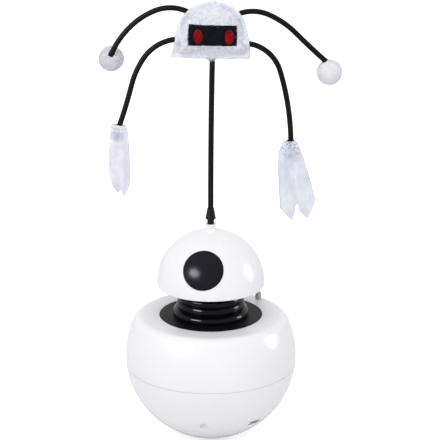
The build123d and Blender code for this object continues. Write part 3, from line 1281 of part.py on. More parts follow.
with BuildPart() as switch_board:
    with BuildSketch(level_plane(BUTTON_ANGLE, button_circle, switch_board_bottom)):
        Rectangle(SWITCH_BOARD_WIDTH, SWITCH_BOARD_LENGTH)
        with GridLocations(0, SWITCH_POST_SPACING, 1, 2):
            Circle(TINY_SCREW_RADIUS + SLIDING_FIT, mode=Mode.SUBTRACT)
    extrude(amount=BOARD_THICKNESS)
finish(switch_board.part, "switch_board")

# ================================================================ turning head
with BuildPart() as head_underplate:
    with BuildSketch(Plane.XY.offset(underplate_bottom)):
        Circle(plate_radius)
        with PolarLocations(head_screw_circle, HEAD_SCREW_COUNT, HEAD_SCREW_ANGLE):
            Circle(SMALL_SCREW_RADIUS + SLIDING_FIT, mode=Mode.SUBTRACT)
    extrude(amount=UNDERPLATE_THICKNESS)
    # hole with two flats that the spindle drives
    with BuildSketch(Plane.XY.offset(underplate_bottom)):
        Circle(SPINDLE_RADIUS + SEAT_PLAY)
        Rectangle(2 * SPINDLE_FLANGE_RADIUS, DRIVE_FLATS + 2 * SEAT_PLAY, mode=Mode.INTERSECT)
    extrude(amount=UNDERPLATE_THICKNESS, mode=Mode.SUBTRACT)
    with BuildSketch(level_plane(EYE_AZIMUTH, laser_reach, underplate_top)):
        with GridLocations(0, HOLDER_SCREW_SPACING, 1, 2):
            Circle(TINY_SCREW_RADIUS + SEAT_PLAY)
    extrude(amount=-UNDERPLATE_THICKNESS, mode=Mode.SUBTRACT)
finish(head_underplate.part, "head_underplate")

with BuildPart() as head_screws:
    with Locations(Plane.XY.offset(underplate_bottom)):
        with PolarLocations(head_screw_circle, HEAD_SCREW_COUNT, HEAD_SCREW_ANGLE):
            add(head_screw)
finish(head_screws.part, "head_screws")

with BuildPart() as head_hollow:
    with BuildSketch(Plane.XZ):
        with Locations((0, head_centre)):
            Circle(head_inner_radius)
        with Locations((0, head_rim)):
            Rectangle(HEAD_RADIUS, 2 * HEAD_RADIUS, align=RIGHT_HALF, mode=Mode.INTERSECT)
    revolve(axis=Axis.Z)
    with BuildSketch(Plane.XY.offset(underplate_top)):
        with PolarLocations(head_screw_circle, HEAD_SCREW_COUNT, HEAD_SCREW_ANGLE):
            Circle(HEAD_BOSS_RADIUS)
    extrude(amount=HEAD_RADIUS, mode=Mode.SUBTRACT)
    with BuildSketch(Plane.XY.offset(socket_bore_bottom - SOCKET_FLOOR)):
        Circle(SOCKET_TUBE_RADIUS)
    extrude(amount=HEAD_RADIUS, mode=Mode.SUBTRACT)

with BuildPart() as head_dome:
    with BuildSketch(Plane.XZ) as dome_section:
        with Locations((0, head_centre)):
            Circle(HEAD_RADIUS)
        with Locations((0, head_rim)):
            Rectangle(2 * HEAD_RADIUS, 2 * HEAD_RADIUS, align=FROM_BELOW, mode=Mode.INTERSECT)
        fillet(dome_section.vertices().group_by(Axis.Y)[0], RIM_ROUNDING)
        with Locations((0, head_rim)):
            Rectangle(HEAD_RADIUS, 2 * HEAD_RADIUS, align=RIGHT_HALF, mode=Mode.INTERSECT)
    revolve(axis=Axis.Z)
    # waisted cup round the mouth of the antenna's socket
    with BuildSketch(Plane.XZ):
        with BuildLine():
            lip_bottom = socket_top - SOCKET_LIP_HEIGHT
            waist_point = (SOCKET_WAIST_RADIUS, (socket_foot_height + lip_bottom) / 2)
            foot_point = (SOCKET_LIP_RADIUS, socket_foot_height)
            ThreePointArc(foot_point, waist_point, (SOCKET_LIP_RADIUS, lip_bottom))
            Polyline(
                (SOCKET_LIP_RADIUS, lip_bottom),
                (SOCKET_LIP_RADIUS, socket_top),
                (0, socket_top),
                (0, head_centre),
                (SOCKET_LIP_RADIUS, head_centre),
                foot_point,
            )
        make_face()
    revolve(axis=Axis.Z)
    add(head_hollow.part, mode=Mode.SUBTRACT)
    # seat and hole of the round window
    with BuildSketch(eye_plane(eye_seat)):
        Circle(EYE_RADIUS + SEAT_PLAY)
    extrude(amount=HEAD_RADIUS, mode=Mode.SUBTRACT)
    with BuildSketch(eye_plane(eye_seat)):
        Circle(EYE_SPIGOT_RADIUS + SEAT_PLAY)
    extrude(amount=-EYE_SPIGOT_RADIUS / 2, mode=Mode.SUBTRACT)
    # bore of the socket, and pilot holes of the head screws
    with BuildSketch(Plane.XY.offset(socket_bore_bottom)):
        Circle(socket_bore_radius)
    extrude(amount=SOCKET_DEPTH, mode=Mode.SUBTRACT)
    with BuildSketch(Plane.XY.offset(underplate_top)):
        with PolarLocations(head_screw_circle, HEAD_SCREW_COUNT, HEAD_SCREW_ANGLE):
            Circle(SMALL_SCREW_RADIUS + SEAT_PLAY)
    extrude(amount=HEAD_SCREW_LENGTH + PILOT_EXTRA - UNDERPLATE_THICKNESS, mode=Mode.SUBTRACT)
finish(head_dome.part, "head_dome")

with BuildPart() as eye_window:
    with BuildSketch(eye_section) as window_section:
        with BuildLine():
            rim_top = eye_seat + EYE_EDGE_HEIGHT
            crown_edge = EYE_RADIUS - EYE_EDGE_ROUNDING
            crown_top = rim_top + EYE_CROWN
            corner_shift = EYE_EDGE_ROUNDING * (1 - sin(radians(QUARTER_TURN / 2)))
            TangentArc((0, crown_top), (crown_edge, rim_top), tangent=(1, 0))
            corner_point = (EYE_RADIUS - corner_shift, rim_top - corner_shift)
            ThreePointArc((crown_edge, rim_top), corner_point, (EYE_RADIUS, rim_top - EYE_EDGE_ROUNDING))
            Polyline(
                (EYE_RADIUS, rim_top - EYE_EDGE_ROUNDING),
                (EYE_RADIUS, eye_seat),
                (EYE_SPIGOT_RADIUS, eye_seat),
                (EYE_SPIGOT_RADIUS, eye_seat - EYE_SPIGOT_DEPTH),
                (EYE_SPIGOT_RADIUS - EYE_WALL, eye_seat - EYE_SPIGOT_DEPTH),
                (EYE_SPIGOT_RADIUS - EYE_WALL, eye_seat),
            )
            hollow_top = crown_top - EYE_WALL
            TangentArc((0, hollow_top), (EYE_SPIGOT_RADIUS - EYE_WALL, eye_seat), tangent=(1, 0))
            Line((0, hollow_top), (0, crown_top))
        make_face()
    revolve(axis=Axis((0, 0, head_centre), direction(EYE_AZIMUTH, EYE_ELEVATION)))
finish(eye_window.part, "eye_window")

# ================================================================ laser
with BuildPart() as laser_module:
    with BuildSketch(laser_plane):
        Circle(LASER_RADIUS)
    extrude(amount=LASER_LENGTH / 2, both=True)
    with BuildSketch(laser_plane.offset(LASER_LENGTH / 2)):
        Circle(LASER_APERTURE_RADIUS)
    extrude(amount=-LASER_APERTURE_DEPTH, mode=Mode.SUBTRACT)
finish(laser_module.part, "laser_module")

with BuildPart() as laser_holder:
    with BuildSketch(level_plane(EYE_AZIMUTH, laser_reach, underplate_top)):
        Rectangle(HOLDER_LENGTH, HOLDER_WIDTH)
    extrude(amount=LASER_LIFT + LASER_RADIUS + HOLDER_TOP_WALL)
    with BuildSketch(level_plane(EYE_AZIMUTH, laser_reach, underplate_top)):
        Rectangle(HOLDER_LENGTH, HOLDER_FOOT_WIDTH)
        with GridLocations(0, HOLDER_SCREW_SPACING, 1, 2):
            Circle(TINY_SCREW_RADIUS + SLIDING_FIT, mode=Mode.SUBTRACT)
    extrude(amount=HOLDER_FOOT_THICKNESS)
    with BuildSketch(laser_plane):
        Circle(LASER_RADIUS + SEAT_PLAY)
    extrude(amount=HOLDER_LENGTH, both=True, mode=Mode.SUBTRACT)
finish(laser_holder.part, "laser_holder")

with BuildPart() as holder_screws:
    with Locations(level_plane(EYE_AZIMUTH, laser_reach, underplate_top + HOLDER_FOOT_THICKNESS, up=-1)):
        with GridLocations(0, HOLDER_SCREW_SPACING, 1, 2):
            add(holder_screw)
finish(holder_screws.part, "holder_screws")

# ================================================================ antenna's plug and rod
with BuildLine(Plane.XZ) as rod_line:
    JernArc(start=(0, rod_foot_height), tangent=(0, 1), radius=rod_bend_radius, arc_size=-rod_turn)
rod_path = rod_line.wire()

with BuildPart() as antenna_plug:
    with BuildSketch(Plane.XZ):
        with BuildLine():
            barb_bottom = socket_top + PLUG_NECK_HEIGHT
            Polyline(
                (0, socket_top - PLUG_SPIGOT_LENGTH),
                (PLUG_SPIGOT_RADIUS, socket_top - PLUG_SPIGOT_LENGTH),
                (PLUG_SPIGOT_RADIUS, socket_top),
                (PLUG_NECK_RADIUS, socket_top),
                (PLUG_NECK_RADIUS, barb_bottom),
                (PLUG_BARB_RADIUS, barb_bottom + PLUG_BARB_EDGE),
                (PLUG_END_RADIUS, plug_top),
                (0, plug_top),
                close=True,
            )
        make_face()
    revolve(axis=Axis.Z)
    add(tube_along(rod_path, ROD_RADIUS + SEAT_PLAY), mode=Mode.SUBTRACT)
finish(antenna_plug.part, "antenna_plug")

with BuildPart() as antenna_rod:
    add(tube_along(rod_path, ROD_RADIUS))
finish(antenna_rod.part, "antenna_rod")

# ================================================================ arms and their joiner
upper_left_path = arm_path(
    HALF_TURN - UPPER_ARM_SWEEP,
    UPPER_LEFT_LIFT,
    UPPER_LEFT_HEADING,
    UPPER_LEFT_ROOT,
    UPPER_LEFT_RADII,
    UPPER_LEFT_TURNS,
)
lower_left_path = arm_path(
    HALF_TURN - LOWER_ARM_SWEEP,
    LOWER_LEFT_LIFT,
    LOWER_LEFT_HEADING,
    LOWER_LEFT_ROOT,
    LOWER_LEFT_RADII,
    LOWER_LEFT_TURNS,
)
upper_right_path = arm_path(
    UPPER_ARM_SWEEP,
    UPPER_RIGHT_LIFT,
    UPPER_RIGHT_HEADING,
    UPPER_RIGHT_ROOT,
    UPPER_RIGHT_RADII,
    UPPER_RIGHT_TURNS,
)
lower_right_path = arm_path(
    LOWER_ARM_SWEEP,
    LOWER_RIGHT_LIFT,
    LOWER_RIGHT_HEADING,
    LOWER_RIGHT_ROOT,
    LOWER_RIGHT_RADII,
    LOWER_RIGHT_TURNS,
)
paddle_bottom = (lower_left_path @ 1).Z + PADDLE_ROOT - PADDLE_LENGTH
streamer_top = (lower_right_path @ 1).Z + STREAMER_ROOT
arm_paths = (upper_left_path, lower_left_path, upper_right_path, lower_right_path)

with BuildPart() as upper_left_arm:
    add(tube_along(upper_left_path, ARM_RADIUS))
finish(upper_left_arm.part, "upper_left_arm")

with BuildPart() as lower_left_arm:
    add(tube_along(lower_left_path, ARM_RADIUS))
finish(lower_left_arm.part, "lower_left_arm")

with BuildPart() as upper_right_arm:
    add(tube_along(upper_right_path, ARM_RADIUS))
finish(upper_right_arm.part, "upper_right_arm")

with BuildPart() as lower_right_arm:
    add(tube_along(lower_right_path, ARM_RADIUS))
finish(lower_right_arm.part, "lower_right_arm")

with BuildPart() as arm_joiner:
    with BuildSketch(Plane.XY.offset(joiner_bottom)):
        with Locations((rod_offset(joiner_middle), 0)):
            RectangleRounded(JOINER_WIDTH, JOINER_DEPTH, JOINER_ROUNDING)
    extrude(amount=JOINER_HEIGHT)
    add(tube_along(rod_path, ROD_RADIUS + SEAT_PLAY), mode=Mode.SUBTRACT)
    for path in arm_paths:
        add(tube_along(path, ARM_RADIUS + SEAT_PLAY), mode=Mode.SUBTRACT)
finish(arm_joiner.part, "arm_joiner")

# ================================================================ felt head
with BuildPart() as felt_head:
    # even rim, and a face on each side that is a little smaller
    with BuildSketch(Plane.XZ):
        add(felt_outline(1))
    extrude(amount=FELT_EDGE_THICKNESS / 2, both=True)
    for side in (-1, 1):
        with BuildSketch(Plane.XZ.offset(side * FELT_EDGE_THICKNESS / 2)):
            add(felt_outline(1))
        with BuildSketch(Plane.XZ.offset(side * felt_front)):
            add(felt_outline(FELT_FACE_SCALE))
        loft()
    # room for the joiner, the rod and the arms
    with BuildSketch(Plane.XY.offset(joiner_bottom - SOFT_GAP)):
        with Locations((rod_offset(joiner_middle), 0)):
            Rectangle(JOINER_WIDTH + 2 * SOFT_GAP, JOINER_DEPTH + 2 * SOFT_GAP)
    extrude(amount=JOINER_HEIGHT + 2 * SOFT_GAP, mode=Mode.SUBTRACT)
    add(tube_along(rod_path, ROD_RADIUS + SOFT_GAP), mode=Mode.SUBTRACT)
    for path in arm_paths:
        add(tube_along(path, ARM_RADIUS + SOFT_GAP), mode=Mode.SUBTRACT)
finish(felt_head.part, "felt_head")

with BuildPart() as visor_patch:
    with BuildSketch(Plane.XZ.offset(felt_front)):
        with Locations((VISOR_CENTRE_X, visor_height)):
            RectangleRounded(VISOR_WIDTH, VISOR_HEIGHT, VISOR_CORNER)
    extrude(amount=VISOR_THICKNESS)
finish(visor_patch.part, "visor_patch")

with BuildPart() as eye_patches:
    with BuildSketch(Plane.XZ.offset(felt_front + VISOR_THICKNESS)):
        with Locations((EYE_PATCH_CENTRE_X, visor_height - EYE_PATCH_DROP)):
            with GridLocations(EYE_PATCH_SPACING, 0, 2, 1):
                Ellipse(EYE_PATCH_WIDTH / 2, EYE_PATCH_HEIGHT / 2)
    extrude(amount=EYE_PATCH_THICKNESS)
finish(eye_patches.part, "eye_patches")

# ================================================================ felt balls
with BuildPart() as left_pompom:
    with Locations(upper_left_path @ 1 + Vector(0, LEFT_POMPOM_SETBACK, -LEFT_POMPOM_DROP)):
        Sphere(POMPOM_RADIUS)
    add(tube_along(upper_left_path, ARM_RADIUS + SOFT_GAP), mode=Mode.SUBTRACT)
finish(left_pompom.part, "left_pompom")

with BuildPart() as right_pompom:
    with Locations(upper_right_path @ 1 - Vector(0, 0, RIGHT_POMPOM_DROP)):
        Sphere(POMPOM_RADIUS)
    add(tube_along(upper_right_path, ARM_RADIUS + SOFT_GAP), mode=Mode.SUBTRACT)
finish(right_pompom.part, "right_pompom")

# ================================================================ paddle and streamer
with BuildPart() as paddle:
    with BuildSketch(radial_plane(HALF_TURN - LOWER_ARM_SWEEP)):
        with Locations((arm_reach(lower_left_path) - PADDLE_SHIFT, paddle_bottom)):
            add(paddle_outline())
    extrude(amount=PADDLE_THICKNESS / 2, both=True)
    add(arm_end(lower_left_path, PADDLE_ROOT, ARM_RADIUS + SOFT_GAP + SLEEVE_WALL))
    add(tube_along(lower_left_path, ARM_RADIUS + SOFT_GAP), mode=Mode.SUBTRACT)
finish(paddle.part, "paddle")

with BuildPart() as streamer:
    with BuildSketch(radial_plane(LOWER_ARM_SWEEP)):
        with Locations((arm_reach(lower_right_path), streamer_top)):
            add(streamer_outline())
    extrude(amount=STREAMER_THICKNESS / 2, both=True)
    add(arm_end(lower_right_path, STREAMER_ROOT, ARM_RADIUS + SOFT_GAP + SLEEVE_WALL))
    add(tube_along(lower_right_path, ARM_RADIUS + SOFT_GAP), mode=Mode.SUBTRACT)
finish(streamer.part, "streamer")
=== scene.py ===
"""Looks of a desk-top cat toy: glossy ball body, turning half-dome head, felt figure on a springy antenna."""

import math

import bmesh
import bpy
import numpy as np
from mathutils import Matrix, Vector
from mathutils.bvhtree import BVHTree


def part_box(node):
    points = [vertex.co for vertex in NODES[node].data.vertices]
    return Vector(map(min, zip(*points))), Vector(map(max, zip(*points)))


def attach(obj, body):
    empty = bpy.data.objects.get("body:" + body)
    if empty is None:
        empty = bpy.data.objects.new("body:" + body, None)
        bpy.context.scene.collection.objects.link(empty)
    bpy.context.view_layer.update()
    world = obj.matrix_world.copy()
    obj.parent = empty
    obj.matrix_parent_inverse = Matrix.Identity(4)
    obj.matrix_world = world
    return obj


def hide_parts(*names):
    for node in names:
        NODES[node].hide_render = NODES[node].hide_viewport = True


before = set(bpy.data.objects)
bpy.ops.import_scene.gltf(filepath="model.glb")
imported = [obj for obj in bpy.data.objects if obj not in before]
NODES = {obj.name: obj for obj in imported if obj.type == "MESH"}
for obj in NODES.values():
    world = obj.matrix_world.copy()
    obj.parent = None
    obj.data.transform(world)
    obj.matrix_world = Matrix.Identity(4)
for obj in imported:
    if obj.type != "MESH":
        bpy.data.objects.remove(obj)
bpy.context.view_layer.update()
MM = 0.001
FULL_TURN = 2 * math.pi


# ---------------------------------------------------------------- material building
class Surface:
    """A Principled surface whose colour, roughness and relief come from procedural textures."""

    def __init__(self, name, **numbers):
        self.material = bpy.data.materials.new(name)
        self.material.use_nodes = True
        self.tree = self.material.node_tree
        self.shader = self.tree.nodes["Principled BSDF"]
        for socket, value in numbers.items():
            self.shader.inputs[socket.replace("_", " ")].default_value = value
        self.place = self.tree.nodes.new("ShaderNodeTexCoord").outputs["Object"]
        self.bumps = None

    def node(self, kind, links=(), **settings):
        made = self.tree.nodes.new(kind)
        for key, value in settings.items():
            setattr(made, key, value)
        for socket, value in dict(links).items():
            if isinstance(value, bpy.types.NodeSocket):
                self.tree.links.new(value, made.inputs[socket])
            else:
                made.inputs[socket].default_value = value
        return made

    def feed(self, socket, value):
        self.tree.links.new(value, self.shader.inputs[socket])

    def stretched(self, scale, turn=(0, 0, 0)):
        return self.node("ShaderNodeMapping", {"Vector": self.place, "Scale": scale, "Rotation": turn}).outputs[0]

    def noise(self, scale, detail=3.0, roughness=0.5, place=None, distortion=0.0):
        links = {
            "Vector": place or self.place,
            "Scale": scale,
            "Detail": detail,
            "Roughness": roughness,
            "Distortion": distortion,
        }
        return self.node("ShaderNodeTexNoise", links).outputs["Fac"]

    def cells(self, scale):
        return self.node("ShaderNodeTexVoronoi", {"Vector": self.place, "Scale": scale}).outputs["Distance"]

    def bands(self, scale, direction, distortion):
        links = {"Vector": self.place, "Scale": scale, "Distortion": distortion}
        return self.node("ShaderNodeTexWave", links, wave_type="BANDS", bands_direction=direction).outputs["Fac"]

    def ranged(self, value, low, high, start=0.3, end=0.7):
        links = {"Value": value, "From Min": start, "From Max": end, "To Min": low, "To Max": high}
        return self.node("ShaderNodeMapRange", links).outputs[0]

    def maths(self, operation, a, b):
        return self.node("ShaderNodeMath", {0: a, 1: b}, operation=operation).outputs[0]

    def distance(self, spot):
        return self.node("ShaderNodeVectorMath", {0: self.place, 1: spot}, operation="DISTANCE").outputs["Value"]

    def mixed(self, share, first, second):
        """A colour between two others, each an RGB triple or a socket."""
        made = self.node("ShaderNodeMix", data_type="RGBA")
        share_in, first_in, second_in = made.inputs[0], made.inputs[6], made.inputs[7]
        self.tree.links.new(share, share_in)
        for colour, socket in ((first, first_in), (second, second_in)):
            if isinstance(colour, bpy.types.NodeSocket):
                self.tree.links.new(colour, socket)
            else:
                socket.default_value = (*colour, 1)
        return made.outputs[2]

    def paint(self, share, first, second):
        self.feed("Base Color", self.mixed(share, first, second))

    def rough(self, value, low, high, start=0.3, end=0.7):
        self.feed("Roughness", self.ranged(value, low, high, start, end))

    def relief(self, value, depth, strength=1.0):
        """Adds a bump of the depth, in metres; bumps stack."""
        links = {"Height": value, "Distance": depth, "Strength": strength}
        if self.bumps is not None:
            links["Normal"] = self.bumps
        self.bumps = self.node("ShaderNodeBump", links).outputs[0]
        self.feed("Normal", self.bumps)


def moulded(name, base, tint, rough, grain, grain_depth, coat=0.0, spread=0.06, **numbers):
    """Moulded plastic: faint flow mottling, fine scuffs in the gloss, a grained or polished skin."""
    s = Surface(name, Coat_Weight=coat, Coat_Roughness=0.05, **numbers)
    s.paint(s.ranged(s.noise(scale=60, detail=4), 0, 1), base, tint)
    drawn = s.stretched((1, 1, 0.12), turn=(0.5, 0.3, 0.2))
    scuffs = s.noise(scale=900, detail=5, roughness=0.65, place=drawn)
    s.rough(scuffs, rough, rough + spread, start=0.35, end=0.75)
    s.relief(s.noise(grain, detail=2), grain_depth)
    s.relief(s.noise(scale=180, detail=2), 1.2e-5, strength=0.35)
    return s.material


def metal(name, base, tint, rough, scratch=2500):
    """Turned or rolled metal: drawn marks in one direction, with spots of tarnish."""
    s = Surface(name, Metallic=1.0)
    s.paint(s.ranged(s.noise(scale=500, detail=5, roughness=0.6), 0, 1), base, tint)
    marks = s.noise(scratch, detail=3, roughness=0.6, place=s.stretched((1, 1, 0.04)))
    s.rough(marks, rough, rough + 0.16)
    s.relief(marks, 3e-6)
    return s.material


CLUMP_DEPTH = 2.5e-4  # of felt, its single fibres a quarter of that


def felt(name, base, shade, warm, clump, sheen, subsurface=0.0, gloss=0.15):
    """Pressed felt or pile: clumped fibres over a softer mottling, with painted shade in the dips between clumps."""
    s = Surface(
        name,
        Sheen_Weight=sheen,
        Sheen_Roughness=0.5,
        Subsurface_Weight=subsurface,
        Subsurface_Scale=0.0015,
        Specular_IOR_Level=gloss,
        Roughness=0.95,
    )
    # Painted shade: the colour falls to shade in the dips of the clump relief and rises to base on its tops, from
    # the same noise as the bump.
    clumps = s.noise(clump, detail=4, roughness=0.62, distortion=0.8)
    painted_clump_shading = s.mixed(s.ranged(clumps, 0, 1, start=0.38, end=0.62), shade, base)
    s.paint(s.ranged(s.noise(scale=150, detail=3), 0, 0.55), painted_clump_shading, warm)
    combed = s.stretched((1, 1, 0.35), turn=(0.6, 0.2, 0.4))
    fibres = s.noise(scale=3200, detail=4, roughness=0.7, place=combed, distortion=1.5)
    s.rough(fibres, 0.86, 1.0)
    s.relief(clumps, CLUMP_DEPTH)
    s.relief(fibres, CLUMP_DEPTH * 0.25)
    return s.material


# Painted shadow: round each arm's end inside the satin, the ribbon's colour is darkened to a grey-blue.
ARM_SHADOW_SPOTS = (((-0.0527, -0.005, 0.1815), 0.85), ((0.0455, -0.005, 0.1695), 0.55))  # place, and how much it shows
ARM_SHADOW_FADE = (0.001, 0.005)
ARM_SHADOW_PAINT = (0.42, 0.46, 0.56)
# Painted shadow: grey-violet dots for the shade in the gather's stitch holes, fading out round the gather's middle.
GATHER_MIDDLE = (0.0452, -0.004, 0.1755)
GATHER_FADE = (0.0045, 0.0085)
STITCH_SHADOW_PAINT = (0.27, 0.28, 0.36)


def satin(name, crush_dip_shade, crush_ridge_light):
    """Thin satin ribbon: fine twill lines and soft crush marks, with painted shade in the crush marks' dips and
    painted light on their ridges, painted shadow dots at the gather stitching, and painted shadow round the arm's
    end inside.
    """
    s = Surface(
        name,
        Sheen_Weight=0.25,
        Sheen_Roughness=0.35,
        Subsurface_Weight=0.08,
        Subsurface_Scale=0.002,
        Specular_IOR_Level=0.4,
        Anisotropic=0.35,
    )
    crush = s.noise(scale=190, detail=4, roughness=0.55, place=s.stretched((1, 1, 0.45)), distortion=0.6)
    # Painted shade and light: the colour darkens in the dips of the crush marks and lightens on their ridges, from
    # the same noise as the crush relief.
    cloth = s.mixed(s.ranged(crush, 0, 1, start=0.3, end=0.72), crush_dip_shade, crush_ridge_light)
    # Painted shadow round each arm's end, fading out with distance from it.
    painted_arm_shadow = 0.0
    for spot, share in ARM_SHADOW_SPOTS:
        painted_arm_shadow = s.maths("ADD", s.ranged(s.distance(spot), share, 0, *ARM_SHADOW_FADE), painted_arm_shadow)
    # Painted shadow dots in the stitch holes near the gather.
    stitch_shadows = s.ranged(s.cells(760), 1.0, 0, start=0.22, end=0.5)
    stitch_shadows = s.maths("MULTIPLY", stitch_shadows, s.ranged(s.distance(GATHER_MIDDLE), 1, 0, *GATHER_FADE))
    cloth = s.mixed(stitch_shadows, cloth, STITCH_SHADOW_PAINT)
    # Base colour, darkened where the arm ends' painted shadow lies.
    s.paint(painted_arm_shadow, cloth, ARM_SHADOW_PAINT)
    s.rough(crush, 0.32, 0.55)
    s.relief(s.bands(2200, "DIAGONAL", distortion=0.4), 2.2e-5, strength=0.6)
    s.relief(crush, 2.6e-4, strength=0.8)
    return s.material


def shell_white():
    """Glossy white styrene with a cool cast, hazed a little where hands rub it."""
    s = Surface("white_shell_gloss", Specular_IOR_Level=0.36, Subsurface_Weight=0.06, Subsurface_Scale=0.002)
    s.paint(s.ranged(s.noise(scale=28, detail=3), 0, 1), (0.82, 0.818, 0.85), (0.846, 0.842, 0.868))
    rubbed = s.stretched((1, 0.2, 0.15), turn=(0.4, 0.9, 0.3))
    hairlines = s.noise(scale=700, detail=6, roughness=0.7, place=rubbed)
    s.rough(hairlines, 0.15, 0.24, start=0.45, end=0.8)
    s.relief(s.noise(scale=90, detail=2), 1.6e-5, strength=0.25)
    return s.material


# Painted light: the window's colour is lighter and bluer in its middle and fades to near black at its rim.
WINDOW_RIM_FADE = (0.0094, 0.0116)  # distances from the window's middle over which it darkens to its rim
PLATE_FADE = (0.07262, 0.07272)  # heights over which the collar's plate gives way to the rings
WINDOW_FADE = (0.0955, 0.0965)  # heights between the neck and the window
PLATE_ROUGHNESS = 0.36  # added to the scuffs
WINDOW_ROUGHNESS = 0.1
GROOVE_RADIUS = 0.0286
GROOVE_FADE = (0.0001, 0.0005)
GROOVE_DEPTH = 1.2e-4


def polished_black():
    """Black styrene: polished rings, a softly polished window above, a finely grained plate under the rings."""
    s = Surface("polished_black", Specular_IOR_Level=0.13)
    lo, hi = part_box("eye_window")
    # Painted glow in the window's middle, darkening to its rim, added to a random mottling.
    middle = s.ranged(s.distance(tuple((lo + hi) / 2)), 1, 0, *WINDOW_RIM_FADE)
    mottling = s.ranged(s.noise(scale=60, detail=4), 0, 0.5)
    mottling_and_painted_glow = s.maths("ADD", mottling, s.maths("MULTIPLY", middle, 0.8))
    s.paint(mottling_and_painted_glow, (0.002, 0.002, 0.004), (0.006, 0.006, 0.011))

    height = s.node("ShaderNodeSeparateXYZ", {"Vector": s.place}).outputs["Z"]
    plate = s.ranged(height, 1, 0, *PLATE_FADE)
    window = s.ranged(height, 0, 1, *WINDOW_FADE)
    drawn = s.stretched((1, 1, 0.12), turn=(0.5, 0.3, 0.2))
    scuffs = s.ranged(s.noise(scale=900, detail=5, roughness=0.65, place=drawn), 0.1, 0.18, start=0.35, end=0.75)
    on_plate = s.maths("MULTIPLY", plate, PLATE_ROUGHNESS)
    on_window = s.maths("MULTIPLY", window, WINDOW_ROUGHNESS)
    s.feed("Roughness", s.maths("ADD", scuffs, s.maths("ADD", on_plate, on_window)))

    s.relief(s.noise(scale=4200, detail=2), 8e-6, strength=s.ranged(plate, 0.1, 1, 0, 1))
    level = s.node("ShaderNodeVectorMath", {0: s.place, 1: (1, 1, 0)}, operation="MULTIPLY").outputs["Vector"]
    radius = s.node("ShaderNodeVectorMath", {0: level}, operation="LENGTH").outputs["Value"]
    off_groove = s.maths("ABSOLUTE", s.maths("SUBTRACT", radius, GROOVE_RADIUS), 0)
    s.relief(s.ranged(off_groove, 0, 1, *GROOVE_FADE), GROOVE_DEPTH, strength=plate)
    return s.material


def board_green():
    """Circuit board laminate with copper lanes under the green."""
    s = Surface("board_laminate", Coat_Weight=0.3, Coat_Roughness=0.2)
    links = {
        "Vector": s.place,
        "Scale": 260.0,
        "Mortar Size": 0.03,
        "Color1": (0, 0, 0, 1),
        "Color2": (0, 0, 0, 1),
        "Mortar": (1, 1, 1, 1),
    }
    lanes = s.node("ShaderNodeTexBrick", links).outputs["Fac"]
    s.paint(lanes, (0.012, 0.11, 0.05), (0.03, 0.2, 0.09))
    s.rough(s.noise(scale=1400, detail=3), 0.3, 0.45)
    s.relief(lanes, 2e-5)
    return s.material


def sleeve_black(name, rough, grain_depth):
    """Dull black tube, as on the rod and the arms."""
    base, tint = (0.003, 0.003, 0.004), (0.006, 0.006, 0.007)
    return moulded(name, base, tint, rough, 5200, grain_depth, spread=0.2, Specular_IOR_Level=0.08)


